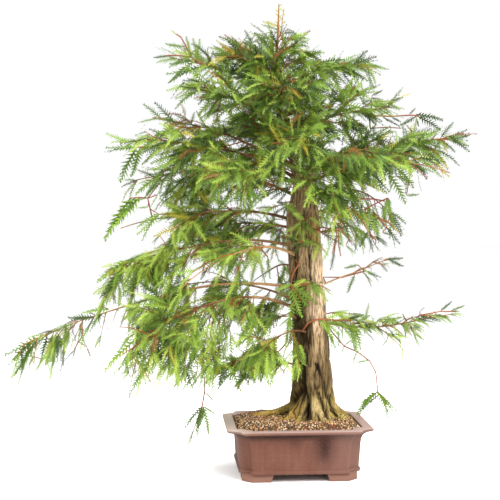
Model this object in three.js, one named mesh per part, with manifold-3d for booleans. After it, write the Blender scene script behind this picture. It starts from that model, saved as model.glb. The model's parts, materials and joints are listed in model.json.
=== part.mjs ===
// A bald cypress bonsai in an unglazed rectangular pot with cut corners, 1.5 m tall.
// Millimetres, +Z up. The pot stands on its four feet at z = 0, and its long side lies along X.
// The origin is the middle of the whole plant's bounding box, at the level of the feet.

import * as THREE from "three";
import { mergeVertices } from "three/addons/utils/BufferGeometryUtils.js";
import Module from "manifold-3d";

const wasm = await Module();
wasm.setup();

const clearance = 0.3; // between solids that touch on the real plant
const up = new THREE.Vector3(0, 0, 1);

// The pot. Each level of a wall gives its height and how far it lies inside the lip's outline.
const pot = {
  width: 460,
  depth: 388,
  height: 166,
  lipCorner: 48, // leg of the cut corner, at the lip
  bodyCorner: 34,
  footHeight: 24,
  drain: { radius: 12, length: 60, sides: 16, spacing: 190 },
  outside: [
    { z: 24, inset: 45 },
    { z: 28, inset: 38 },
    { z: 35, inset: 38 },
    { z: 39, inset: 42 },
    { z: 122, inset: 36 },
    { z: 136, inset: 33 },
    { z: 145, inset: 26 },
    { z: 152, inset: 15 },
    { z: 156, inset: 4 },
    { z: 159, inset: 0 },
    { z: 164, inset: 0 },
    { z: 166, inset: 3 },
  ],
  inside: [
    { z: 38, inset: 58 },
    { z: 130, inset: 50 },
    { z: 148, inset: 42 },
    { z: 158, inset: 34 },
    { z: 170, inset: 32 },
  ],
};
const foot = { inset: 48, corner: 30, armTop: 70, armBottom: 60, thickness: 26, sunk: 3 };
const soil = {
  edge: 156, // the height of the grit against the pot's wall
  edgeGap: 2,
  shoulder: { z: 168, inset: 17 }, // inside the wall's own outline
  ground: 178,
  groundInset: 62,
  groundCorner: 67,
};

// The trunk's centre line and radius. It was cut back long ago at the shoulder, and a thin leader
// took over.
const trunkStations = [
  { z: 170, x: 56, y: 0, r: 80 },
  { z: 232, x: 55, y: 0, r: 71 },
  { z: 330, x: 53, y: 2, r: 63 },
  { z: 450, x: 49, y: 4, r: 57.5 },
  { z: 640, x: 36, y: 6, r: 53.5 },
  { z: 820, x: 23, y: 4, r: 53 },
  { z: 880, x: 25, y: 2, r: 42 },
  { z: 935, x: 25, y: 0, r: 30 },
  { z: 975, x: 25, y: 0, r: 15 },
];
const leaderStations = [
  { z: 890, x: 18, y: 0, r: 24 },
  { z: 985, x: -2, y: 0, r: 15 },
  { z: 1040, x: -20, y: 2, r: 11 },
  { z: 1103, x: -46, y: 4, r: 9.5 },
  { z: 1180, x: -55, y: 4, r: 8 },
  { z: 1290, x: -53, y: 0, r: 6 },
  { z: 1350, x: -62, y: -3, r: 5 },
  { z: 1412, x: -58, y: 0, r: 3.6 },
  { z: 1505, x: -55, y: 0, r: 1.4 },
];
const leaderAlone = 960; // the height from which the trunk is no thicker than the leader
const trunkLevels = [200, 228, 264, 320, 400, 500, 620, 740, 820, 850, 880, 910, 940, 975];
const bark = {
  sides: 22,
  leaderSides: 5,
  depth: 0.045, // of the radius
  flutes: { count: 7, twist: 260 }, // twist is the rise in which they wind by one radian
  bulges: { count: 3, twist: 180, share: 0.6 },
};
// Surface roots: compass direction from +X, length from the trunk's axis, radius, and the height
// each leaves the axis at.
const roots = [
  { azimuth: 166, length: 240, radius: 19, leaves: 236 },
  { azimuth: 204, length: 150, radius: 29, leaves: 300 },
  { azimuth: 240, length: 132, radius: 31, leaves: 288 },
  { azimuth: 288, length: 140, radius: 30, leaves: 296 },
  { azimuth: 334, length: 132, radius: 29, leaves: 276 },
  { azimuth: 14, length: 140, radius: 30, leaves: 284 },
  { azimuth: 62, length: 136, radius: 30, leaves: 290 },
  { azimuth: 118, length: 138, radius: 29, leaves: 282 },
];
const rootForm = { inner: 0.12, bends: [0.42, 0.62, 0.8], fall: 2.4, sunk: 0.3, taper: 0.5, sides: 7 };
const buttress = { height: 42, width: 0.3, share: 0.5 }; // of a root's radius, where it runs up the trunk

// The limbs, roughly from the lowest up. z is where a limb leaves the trunk's axis, and azimuth its
// compass direction from +X. reach is its level length, rise its tip's height over its start, and arch
// how far its middle lies over the straight line. bare is the share of it with no foliage, which is a
// solid of its own where bough is true. spread is how far its side twigs reach, and twigs is their
// number. A whip is one long shoot that leaves the rest.
const limbs = [
  { name: "lowest_left", z: 330, azimuth: 190, reach: 345, rise: 8, arch: 34, radius: 5,
    bare: 0.3, spread: 110, twigs: 4, bough: true,
    whip: { at: 0.62, length: 210, azimuth: 196, pitch: -58 } },
  { name: "front_low_left", z: 440, azimuth: 232, reach: 350, rise: -60, arch: 50, radius: 5,
    bare: 0.26, spread: 110, twigs: 4 },
  { name: "low_right", z: 485, azimuth: 352, reach: 520, rise: 45, arch: -30, radius: 6,
    bare: 0.24, spread: 80, twigs: 4, bough: true,
    whip: { at: 0.1, length: 260, azimuth: 330, pitch: -46 } },
  { name: "low_left", z: 508, azimuth: 198, reach: 660, rise: -140, arch: 120, radius: 8,
    bare: 0.42, spread: 170, twigs: 6, bough: true },
  { name: "inner_left", z: 522, azimuth: 168, reach: 500, rise: 40, arch: 70, radius: 6,
    bare: 0.38, spread: 130, twigs: 4, bough: true },
  { name: "mid_right", z: 578, azimuth: 3, reach: 310, rise: 118, arch: 10, radius: 4,
    bare: 0.42, spread: 60, twigs: 2, bough: true },
  { name: "front_tuft", z: 592, azimuth: 275, reach: 170, rise: 0, arch: 24, radius: 3,
    bare: 0.4, spread: 66, twigs: 2 },
  { name: "far_left", z: 596, azimuth: 182, reach: 968, rise: -212, arch: 82, radius: 7,
    bare: 0.6, spread: 100, twigs: 4, bough: true },
  { name: "back_low", z: 640, azimuth: 116, reach: 400, rise: -90, arch: 60, radius: 6,
    bare: 0.3, spread: 140, twigs: 3, bough: true },
  { name: "front_left_mid", z: 690, azimuth: 212, reach: 540, rise: -130, arch: 90, radius: 7,
    bare: 0.34, spread: 150, twigs: 4, bough: true },
  { name: "mid_left", z: 722, azimuth: 181, reach: 680, rise: -98, arch: 64, radius: 7,
    bare: 0.38, spread: 150, twigs: 4, bough: true },
  { name: "back_mid_left", z: 768, azimuth: 144, reach: 500, rise: -60, arch: 66, radius: 6,
    bare: 0.3, spread: 150, twigs: 3, bough: true },
  { name: "back_mid_right", z: 800, azimuth: 62, reach: 400, rise: -40, arch: 66, radius: 6,
    bare: 0.3, spread: 140, twigs: 3, bough: true },
  { name: "upper_mid_left", z: 804, azimuth: 175, reach: 650, rise: -46, arch: 60, radius: 7,
    bare: 0.36, spread: 150, twigs: 4, bough: true },
  { name: "drooping_right", z: 862, azimuth: 2, reach: 350, rise: -110, arch: 105, radius: 6,
    bare: 0.34, spread: 120, twigs: 4, bough: true },
  { name: "front_right_mid", z: 868, azimuth: 292, reach: 270, rise: 0, arch: 40, radius: 4.5,
    bare: 0.3, spread: 110, twigs: 3 },
  { name: "back_left", z: 884, azimuth: 163, reach: 630, rise: 42, arch: 70, radius: 7,
    bare: 0.36, spread: 150, twigs: 4, bough: true },
  { name: "front_left_high", z: 905, azimuth: 222, reach: 470, rise: 6, arch: 60, radius: 6.5,
    bare: 0.28, spread: 150, twigs: 4, bough: true },
  { name: "right_leader", z: 985, azimuth: 24, reach: 92, rise: 265, arch: 0, radius: 7,
    bare: 0.36, spread: 120, twigs: 3, bough: true },
  { name: "right", z: 925, azimuth: 338, reach: 530, rise: 12, arch: 60, radius: 7,
    bare: 0.3, spread: 130, twigs: 4, bough: true },
  { name: "upper_left", z: 930, azimuth: 187, reach: 650, rise: 105, arch: 72, radius: 8,
    bare: 0.36, spread: 150, twigs: 4, bough: true },
  { name: "front_right_high", z: 945, azimuth: 306, reach: 410, rise: 50, arch: 50, radius: 6,
    bare: 0.26, spread: 140, twigs: 4 },
  { name: "back_right", z: 922, azimuth: 60, reach: 450, rise: 105, arch: 40, radius: 6.5,
    bare: 0.26, spread: 150, twigs: 4 },
  { name: "far_right", z: 962, azimuth: 4, reach: 560, rise: 122, arch: 22, radius: 7.5,
    bare: 0.34, spread: 120, twigs: 4, bough: true },
  { name: "front_high", z: 985, azimuth: 258, reach: 350, rise: 34, arch: 50, radius: 6,
    bare: 0.24, spread: 140, twigs: 3 },
  { name: "rising_left", z: 990, azimuth: 174, reach: 500, rise: 165, arch: 24, radius: 7,
    bare: 0.32, spread: 130, twigs: 4, bough: true },
  { name: "back_high_left", z: 1020, azimuth: 132, reach: 430, rise: 70, arch: 40, radius: 6,
    bare: 0.26, spread: 140, twigs: 3 },
  { name: "high_right", z: 1085, azimuth: 350, reach: 400, rise: 92, arch: 24, radius: 5,
    bare: 0.22, spread: 125, twigs: 4 },
  { name: "high_left", z: 1130, azimuth: 192, reach: 380, rise: 122, arch: 18, radius: 5,
    bare: 0.22, spread: 115, twigs: 4 },
  { name: "front_top", z: 1150, azimuth: 268, reach: 280, rise: 70, arch: 24, radius: 4.5,
    bare: 0.2, spread: 120, twigs: 4 },
  { name: "back_top", z: 1165, azimuth: 84, reach: 310, rise: 80, arch: 24, radius: 4.5,
    bare: 0.2, spread: 125, twigs: 3 },
  { name: "top_left", z: 1206, azimuth: 178, reach: 405, rise: 122, arch: 36, radius: 4.5,
    bare: 0.34, spread: 80, twigs: 4,
    whip: { at: 0.42, length: 160, azimuth: 176, pitch: 52 } },
  { name: "top_back_left", z: 1222, azimuth: 150, reach: 125, rise: 216, arch: 0, radius: 4,
    bare: 0.16, spread: 90, twigs: 3 },
  { name: "top_right", z: 1240, azimuth: 357, reach: 350, rise: 66, arch: 30, radius: 4.5,
    bare: 0.2, spread: 100, twigs: 4 },
  { name: "crown_left", z: 1262, azimuth: 204, reach: 250, rise: 70, arch: 16, radius: 3.6,
    bare: 0.18, spread: 100, twigs: 3 },
  { name: "crown_right", z: 1296, azimuth: 20, reach: 180, rise: 66, arch: 14, radius: 3.4,
    bare: 0.14, spread: 90, twigs: 4 },
  { name: "crown_tip", z: 1345, azimuth: 320, reach: 100, rise: 92, arch: 0, radius: 3,
    bare: 0.1, spread: 60, twigs: 2 },
];
const limbTip = { radius: 2.4, taper: 1.2 };
const crooks = { share: 0.014, waves: 9, lift: 0.5 }; // how far a limb winds, as a share of its reach
const boughForm = { sides: 5, step: 60, fewest: 4, collar: 1.5, collarLength: 26, spare: 10, slab: 40 };
const stemForm = { sides: 4, step: 110, fewest: 3, tip: 0.8 }; // it ends this share of a blade short
const twigForm = {
  radius: 1.8,
  taper: 0.4,
  sides: 3,
  step: 130,
  fork: { low: 44, high: 66 }, // degrees
  roll: 50,
  sag: 0.3,
  firstBlade: 0.6, // of the space between blades
  lastGap: 0.5,
  shortest: 24,
  longest: 1.15, // of the limb's spread
  lengthRange: 0.35,
  eachTry: 0.16,
};
const bladeForm = {
  length: 150, // on a limb whose side twigs reach as far as usualSpread
  usualSpread: 120,
  smallest: 0.72,
  largest: 1.12,
  longest: 1.15,
  lengthRange: 0.3,
  eachTry: 0.12,
  width: 0.36,
  thickness: 0.02,
  spacing: 80,
  fork: 46,
  forkRange: 30,
  droop: { most: 0.75, low: 0.4, range: 1.2 },
  curl: 0.12,
  tilt: 1.3,
  middle: 0.42,
  right: [[0.34, 1], [0.46, 0.5], [0.74, 0.64]], // along its length, and across its half width
  left: [[0.26, 0.86], [0.38, 0.5], [0.64, 0.74]],
};
const whipForm = { blades: 3, size: 0.7, sag: 0.12, steps: 4 };
const tries = 4; // for a blade or a twig to find its room
const touch = 0.01; // cubic millimetres that a joint may differ by
const space = { hang: 50, gap: 4, offTrunk: { share: 1.12, gap: 6 } };
const foliageHeights = { lowest: 268, level: 1350 }; // apart from the whips, and where it no longer droops

// What the solids look like.
const looks = {
  pot: { color: 0x8a6258, roughness: 0.75, metalness: 0 },
  soil: { color: 0x8b6a48, roughness: 0.95, metalness: 0 },
  trunk: { color: 0x7f6a4a, roughness: 0.9, metalness: 0 },
  bough: { color: 0x7a4a30, roughness: 0.8, metalness: 0 },
  foliage: { color: 0x6fa32f, roughness: 0.7, metalness: 0 },
};

// A closed mesh as a solid, and a solid as a mesh's geometry.
function toSolid(geometry) {
  const bare = new THREE.BufferGeometry();
  bare.setAttribute("position", geometry.getAttribute("position"));
  bare.setIndex(geometry.getIndex());
  const merged = mergeVertices(bare, 1e-4);
  const mesh = new wasm.Mesh({
    numProp: 3,
    vertProperties: new Float32Array(merged.getAttribute("position").array),
    triVerts: new Uint32Array(merged.getIndex().array),
  });
  return new wasm.Manifold(mesh);
}

function toGeometry(solid) {
  const mesh = solid.getMesh();
  const positions = new Float32Array(mesh.numVert * 3);
  for (let i = 0; i < mesh.numVert; i++) {
    positions.set(mesh.vertProperties.subarray(i * mesh.numProp, i * mesh.numProp + 3), i * 3);
  }
  const geometry = new THREE.BufferGeometry();
  geometry.setAttribute("position", new THREE.BufferAttribute(positions, 3));
  geometry.setIndex(new THREE.BufferAttribute(new Uint32Array(mesh.triVerts), 1));
  geometry.computeVertexNormals();
  return geometry;
}

// Several solids as one, without the scraps that touch nothing.
function fuse(solids) {
  const pieces = wasm.Manifold.union(solids).decompose();
  return pieces.reduce((largest, piece) => (piece.volume() > largest.volume() ? piece : largest));
}

// A flat ring of points as triangles, which turn the same way as the ring.
function capTriangles(ring) {
  const normal = new THREE.Vector3();
  for (let i = 1; i < ring.length - 1; i++) {
    normal.add(ring[i].clone().sub(ring[0]).cross(ring[i + 1].clone().sub(ring[0])));
  }
  normal.normalize();
  const across = ring[1].clone().sub(ring[0]).normalize();
  const along = normal.cross(across);
  const flat = ring.map((p) => new THREE.Vector2(p.dot(across), p.dot(along)));
  return THREE.ShapeUtils.triangulateShape(flat, []);
}

// A closed skin over rings of equal count, each anticlockwise as the next one looks back at it.
function loft(rings) {
  const count = rings[0].length;
  const index = [];
  for (let r = 0; r < rings.length - 1; r++) {
    for (let i = 0; i < count; i++) {
      const a = r * count + i;
      const b = r * count + ((i + 1) % count);
      index.push(a, b, a + count, b, b + count, a + count);
    }
  }
  const top = (rings.length - 1) * count;
  for (const [a, b, c] of capTriangles(rings[0])) index.push(a, c, b);
  for (const [a, b, c] of capTriangles(rings[rings.length - 1])) index.push(top + a, top + b, top + c);
  const geometry = new THREE.BufferGeometry();
  const positions = rings.flatMap((ring) => ring.flatMap((p) => [...p]));
  geometry.setAttribute("position", new THREE.Float32BufferAttribute(positions, 3));
  geometry.setIndex(index);
  return toSolid(geometry);
}

// The pot's outline at one level: a rectangle with cut corners, anticlockwise from above.
function potRing(z, inset, corner) {
  const w = pot.width / 2 - inset;
  const d = pot.depth / 2 - inset;
  const corners = [[w - corner, -d], [w, -d + corner], [w, d - corner], [w - corner, d],
    [-w + corner, d], [-w, d - corner], [-w, -d + corner], [-w + corner, -d]];
  return corners.map(([x, y]) => new THREE.Vector3(x, y, z));
}

function cornerAt(inset) {
  const share = Math.min(1, inset / pot.outside[4].inset);
  return THREE.MathUtils.lerp(pot.lipCorner, pot.bodyCorner, share);
}

function wallRings(levels, grow = 0) {
  return levels.map(({ z, inset }) => potRing(z, inset + grow, cornerAt(inset)));
}

// One foot under a corner: two arms round the cut corner, with ends that lean outwards as they rise.
function footSolid(sideX, sideY) {
  const ring = (z, arm) => {
    const w = pot.width / 2 - foot.inset;
    const d = pot.depth / 2 - foot.inset;
    const t = foot.thickness;
    const c = foot.corner;
    const k = c - t * (Math.SQRT2 - 1); // where the arms' inner faces meet the corner's
    const plan = [[w - c - arm, -d], [w - c, -d], [w, -d + c], [w, -d + c + arm],
      [w - t, -d + c + arm], [w - t, -d + k + t], [w - k - t, -d + t], [w - c - arm, -d + t]];
    const points = plan.map(([x, y]) => new THREE.Vector3(x * sideX, -y * sideY, z));
    return sideX * sideY > 0 ? points.reverse() : points;
  };
  return loft([ring(0, foot.armBottom), ring(pot.footHeight + foot.sunk, foot.armTop)]);
}

function makePot() {
  const feet = [[1, 1], [1, -1], [-1, 1], [-1, -1]].map(([x, y]) => footSolid(x, y));
  let solid = fuse([loft(wallRings(pot.outside)), ...feet]);
  solid = solid.subtract(loft(wallRings(pot.inside)));
  for (const side of [-1, 1]) {
    const { radius, length, sides, spacing } = pot.drain;
    const drain = new THREE.CylinderGeometry(radius, radius, length, sides);
    drain.rotateX(Math.PI / 2);
    drain.translate((side * spacing) / 2, 0, pot.footHeight);
    solid = solid.subtract(toSolid(drain));
  }
  return solid;
}

// The soil fills the pot to just under its lip and rises to level ground round the trunk.
function makeSoil() {
  const below = pot.inside.filter((level) => level.z < soil.edge);
  const walls = below.map((level, i) => ({ z: level.z + (i ? 0 : clearance), inset: level.inset }));
  const above = pot.inside.find((level) => level.z > soil.edge);
  const rings = wallRings(walls, clearance);
  rings.push(potRing(soil.edge, above.inset + soil.edgeGap, cornerAt(above.inset)));
  rings.push(potRing(soil.shoulder.z, above.inset + soil.shoulder.inset, pot.lipCorner));
  rings.push(potRing(soil.ground, soil.groundInset, soil.groundCorner));
  return loft(rings);
}

// A value of the stations at a height, on a smooth curve through them.
function stationValue(stations, z, key) {
  const last = stations.length - 1;
  let i = 0;
  while (i < last - 1 && z > stations[i + 1].z) i++;
  const at = (k) => stations[THREE.MathUtils.clamp(k, 0, last)];
  const slope = (k) => (at(k + 1)[key] - at(k - 1)[key]) / (at(k + 1).z - at(k - 1).z);
  const span = stations[i + 1].z - stations[i].z;
  const s = THREE.MathUtils.clamp((z - stations[i].z) / span, 0, 1);
  const rise = s * s * (3 - 2 * s);
  return at(i)[key] * (1 - rise) + at(i + 1)[key] * rise
    + span * (s * (1 - s) * (1 - s) * slope(i) - s * s * (1 - s) * slope(i + 1));
}

function trunkCentre(z) {
  const leader = z > trunkStations[trunkStations.length - 2].z;
  const stations = leader ? leaderStations : trunkStations;
  return new THREE.Vector3(stationValue(stations, z, "x"), stationValue(stations, z, "y"), z);
}

// How far the roots' tops stand out of the trunk's foot in one direction.
function buttressAt(angle, z) {
  return roots.reduce((sum, root) => {
    const turn = angle - THREE.MathUtils.degToRad(root.azimuth);
    const off = Math.atan2(Math.sin(turn), Math.cos(turn)) / buttress.width;
    return sum + buttress.share * root.radius * Math.exp(-off * off - (z - soil.ground) / buttress.height);
  }, 0);
}

// An upright stem through the stations, fluted and buttressed or plain, at the heights given.
function stemSolid(stations, heights, sides, depth, grow) {
  const { flutes, bulges } = bark;
  const rings = heights.map((z) => {
    const ring = [];
    const centre = new THREE.Vector3(stationValue(stations, z, "x"), stationValue(stations, z, "y"), z);
    for (let i = 0; i < sides; i++) {
      const angle = (i / sides) * 2 * Math.PI;
      const wave = Math.cos(flutes.count * angle + z / flutes.twist)
        + bulges.share * Math.cos(bulges.count * angle - z / bulges.twist);
      const foot = depth ? buttressAt(angle, z) : 0;
      const r = stationValue(stations, z, "r") * (1 + depth * wave) + foot + grow;
      ring.push(new THREE.Vector3(centre.x + r * Math.cos(angle), centre.y + r * Math.sin(angle), z));
    }
    return ring;
  });
  return loft(rings);
}

// A tube of changing radius along a curve.
function taperedTube(curve, radiusAt, sides, steps) {
  const frames = curve.computeFrenetFrames(steps, false);
  const rings = frames.tangents.map((_, step) => {
    const centre = curve.getPointAt(step / steps);
    const radius = radiusAt(step / steps);
    return Array.from({ length: sides }, (__, i) => {
      const angle = (i / sides) * 2 * Math.PI;
      return centre.clone().addScaledVector(frames.normals[step], radius * Math.cos(angle))
        .addScaledVector(frames.binormals[step], radius * Math.sin(angle));
    });
  });
  return loft(rings);
}

// A root runs out from inside the trunk, falls steeply at first and then lies along the ground.
function rootSolid({ azimuth, length, radius, leaves }, grow) {
  const angle = THREE.MathUtils.degToRad(azimuth);
  const centre = trunkCentre(soil.ground);
  const { inner, bends, fall, sunk, taper, sides } = rootForm;
  const points = [inner, ...bends, 1].map((share) => {
    const height = (leaves - soil.ground) * Math.pow((1 - share) / (1 - inner), fall);
    const x = centre.x + Math.cos(angle) * length * share;
    const y = centre.y + Math.sin(angle) * length * share;
    return new THREE.Vector3(x, y, soil.ground - sunk * radius + height);
  });
  const curve = new THREE.CatmullRomCurve3(points);
  return taperedTube(curve, (s) => radius * (1 - taper * s) + grow, sides, points.length);
}

function makeTrunk(grow = 0) {
  const heights = [soil.ground + clearance, ...trunkLevels];
  const leaderHeights = leaderStations.map(({ z }) => z);
  const top = leaderHeights[leaderHeights.length - 1];
  const above = new THREE.BoxGeometry(pot.width * 2, pot.width * 2, top);
  above.translate(0, 0, soil.ground + clearance - grow + top / 2);
  const whole = fuse([
    stemSolid(trunkStations, heights, bark.sides, bark.depth, grow),
    stemSolid(leaderStations, leaderHeights, bark.leaderSides, 0, grow),
    ...roots.map((root) => rootSolid(root, grow)),
  ]);
  return fuse([whole.intersect(toSolid(above))]);
}

// A repeatable run of numbers between 0 and 1.
function seededRun(seed) {
  let state = (seed * 7919 + 101) % 2147483647;
  return () => {
    state = (state * 16807) % 2147483647;
    return state / 2147483647;
  };
}

function limbPoint(limb, t) {
  const angle = THREE.MathUtils.degToRad(limb.azimuth);
  const start = trunkCentre(limb.z);
  const crook = limb.reach * crooks.share * Math.sin(t * crooks.waves + limb.z);
  return new THREE.Vector3(
    start.x + Math.cos(angle) * limb.reach * t - Math.sin(angle) * crook,
    start.y + Math.sin(angle) * limb.reach * t + Math.cos(angle) * crook,
    limb.z + limb.rise * t + limb.arch * 4 * t * (1 - t) + crook * crooks.lift,
  );
}

function limbRadius(limb, t) {
  return limbTip.radius + (limb.radius - limbTip.radius) * Math.pow(1 - t, limbTip.taper);
}

function limbStretch(limb, from, to, steps) {
  const points = [];
  for (let i = 0; i <= steps; i++) points.push(limbPoint(limb, from + ((to - from) * i) / steps));
  return points;
}

function direction(azimuth, pitch) {
  const a = THREE.MathUtils.degToRad(azimuth);
  const p = THREE.MathUtils.degToRad(pitch);
  return new THREE.Vector3(Math.cos(a) * Math.cos(p), Math.sin(a) * Math.cos(p), Math.sin(p));
}

// A twig leaves its parent straight and bends down under its own weight.
function twigPoints(origin, heading, length, sag, steps) {
  const points = [];
  for (let i = 0; i <= steps; i++) {
    const s = (length * i) / steps;
    points.push(origin.clone().addScaledVector(heading, s).addScaledVector(up, (-sag * s * s) / length));
  }
  return points;
}

function distanceToLine(point, line) {
  const nearest = new THREE.Vector3();
  let best = Infinity;
  for (let i = 0; i < line.length - 1; i++) {
    new THREE.Line3(line[i], line[i + 1]).closestPointToPoint(point, true, nearest);
    best = Math.min(best, nearest.distanceTo(point));
  }
  return best;
}

function whipPoints(limb) {
  const { at, length, azimuth, pitch } = limb.whip;
  const t = limb.bare + (1 - limb.bare) * at;
  const sag = pitch < 0 ? whipForm.sag : 0;
  return twigPoints(limbPoint(limb, t), direction(azimuth, pitch), length, sag, whipForm.steps);
}

// The lines that each limb's foliage grows round.
const skeleton = new Map(limbs.map((limb) => {
  const lines = [limbStretch(limb, 0, 1, 12)];
  if (limb.whip) lines.push(whipPoints(limb));
  return [limb.name, lines];
}));

// The low limbs hang and the high ones spread, so foliage droops by its height.
function droopAt(z) {
  return Math.max(0, THREE.MathUtils.mapLinear(z, foliageHeights.lowest, foliageHeights.level, 1, 0));
}

// Foliage keeps off the trunk and over the pot, and to the space of its own limb: what is nearer to
// that limb than to any other. The space hangs under the limb as the foliage does, low down more than
// high up.
function keepsItsSpace(limb, points) {
  const lines = skeleton.get(limb.name);
  return points.every((point) => {
    const centre = trunkCentre(Math.max(point.z, soil.ground));
    const room = trunkRadiusAt(point.z) * space.offTrunk.share + space.offTrunk.gap;
    if (Math.hypot(point.x - centre.x, point.y - centre.y) < room) return false;
    const onWhip = lines.length > 1 && distanceToLine(point, lines[1]) < foliageHeights.lowest / 3;
    if (point.z < foliageHeights.lowest && !onWhip) return false;
    const lifted = point.clone().addScaledVector(up, space.hang * droopAt(point.z));
    const own = Math.min(...lines.map((line) => distanceToLine(lifted, line)));
    return limbs.every((other) => {
      const clear = other.radius * boughForm.collar + space.gap;
      return other === limb || skeleton.get(other.name).every((line) =>
        distanceToLine(lifted, line) > own && distanceToLine(point, line) > clear);
    });
  });
}

// A spray of needles as one toothed blade, thickest along its middle, that curls down towards its tip.
function bladePoints(root, heading, normal, length) {
  const side = new THREE.Vector3().crossVectors(normal, heading).normalize();
  const place = ([s, w]) => root.clone().addScaledVector(heading, s * length)
    .addScaledVector(side, (w * bladeForm.width * length) / 2)
    .addScaledVector(up, -bladeForm.curl * s * s * length);
  const left = [...bladeForm.left].reverse().map(([s, w]) => [s, -w]);
  const outline = [[0, 0], ...bladeForm.right, [1, 0], ...left].map(place);
  return { outline, middle: place([bladeForm.middle, 0]) };
}

function bladeSolid({ outline, middle }, normal, length) {
  const lift = (bladeForm.thickness * length) / 2;
  const raised = [lift, -lift].map((rise) => middle.clone().addScaledVector(normal, rise));
  const count = outline.length;
  const index = [];
  for (let i = 0; i < count; i++) {
    const next = (i + 1) % count;
    index.push(next, i, count, i, next, count + 1);
  }
  const geometry = new THREE.BufferGeometry();
  const positions = [...outline, ...raised].flatMap((p) => [...p]);
  geometry.setAttribute("position", new THREE.Float32BufferAttribute(positions, 3));
  geometry.setIndex(index);
  return toSolid(geometry);
}

function twigSolid(points) {
  const curve = new THREE.CatmullRomCurve3(points);
  const radiusAt = (s) => twigForm.radius * (1 - twigForm.taper * s);
  return taperedTube(curve, radiusAt, twigForm.sides, points.length - 1);
}

// A mass while it grows: a new piece joins it where it touches nothing but its parent.
function joinTo(mass, piece, parent) {
  const shared = mass.solid.intersect(piece).volume();
  if (shared > parent.intersect(piece).volume() + touch) return false;
  mass.solid = mass.solid.add(piece);
  return true;
}

// One blade that leaves its parent to one side, or carries it on where side is 0. It is left out
// where it has no room.
function addBlade(mass, limb, parent, root, tangent, side, run, length) {
  const { droop, longest, lengthRange, eachTry } = bladeForm;
  for (let attempt = 0; attempt < tries; attempt++) {
    const level = new THREE.Vector3().crossVectors(tangent, up).normalize();
    const fork = side * THREE.MathUtils.degToRad(bladeForm.fork + bladeForm.forkRange * (run() - 0.5));
    const heading = tangent.clone().multiplyScalar(Math.cos(fork)).addScaledVector(level, Math.sin(fork));
    const fall = droop.most * droopAt(limb.z) * (droop.low + droop.range * run());
    heading.addScaledVector(up, -fall).normalize();
    const size = length * (longest - lengthRange * run() - eachTry * attempt);
    const flat = new THREE.Vector3().crossVectors(heading, up).normalize();
    const normal = flat.cross(heading).normalize().applyAxisAngle(heading, bladeForm.tilt * (2 * run() - 1));
    const blade = bladePoints(root, heading, normal, size);
    const halfway = blade.outline.slice(1).map((p, i) => p.clone().lerp(blade.outline[i], 0.5));
    if (!keepsItsSpace(limb, [...blade.outline.slice(1), ...halfway, blade.middle])) continue;
    if (joinTo(mass, bladeSolid(blade, normal, size), parent)) return true;
  }
  return false;
}

// Blades stand on alternate sides of a twig, and the last one carries it on.
function addBlades(mass, limb, parent, points, run, length, sides) {
  const line = new THREE.CatmullRomCurve3(points);
  const end = line.getPoint(1).addScaledVector(line.getTangent(1), -twigForm.radius);
  let added = addBlade(mass, limb, parent, end, line.getTangent(1), 0, run, length);
  for (let k = 0; k < sides; k++) {
    const s = (k + twigForm.firstBlade) / (sides + twigForm.lastGap);
    const side = k % 2 ? 1 : -1;
    const root = line.getPointAt(s);
    added = addBlade(mass, limb, parent, root, line.getTangentAt(s), side, run, length) || added;
  }
  return added;
}

// A side twig from the stem with its blades. A twig that gets no blade is left out.
function addTwig(mass, limb, stem, t, full, side, run, size) {
  const grown = mass.solid;
  const tangent = limbPoint(limb, t + 0.02).sub(limbPoint(limb, t - 0.02)).normalize();
  for (let attempt = 0; attempt < tries; attempt++) {
    const level = new THREE.Vector3().crossVectors(tangent, up).normalize().multiplyScalar(side);
    const fork = THREE.MathUtils.degToRad(THREE.MathUtils.lerp(twigForm.fork.low, twigForm.fork.high, run()));
    level.applyAxisAngle(tangent, THREE.MathUtils.degToRad(twigForm.roll * (2 * run() - 1)));
    const heading = tangent.clone().multiplyScalar(Math.cos(fork));
    heading.addScaledVector(level, Math.sin(fork)).normalize();
    const length = full * (twigForm.longest - twigForm.lengthRange * run() - twigForm.eachTry * attempt);
    const steps = Math.ceil(length / twigForm.step);
    const sag = twigForm.sag * (twigForm.sag + droopAt(limb.z));
    const points = twigPoints(limbPoint(limb, t), heading, length, sag, steps);
    if (length < twigForm.shortest || !keepsItsSpace(limb, points.slice(1))) continue;
    const twig = twigSolid(points);
    if (!joinTo(mass, twig, stem)) continue;
    if (addBlades(mass, limb, twig, points, run, size, Math.round(length / bladeForm.spacing))) return;
    mass.solid = grown;
  }
}

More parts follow.
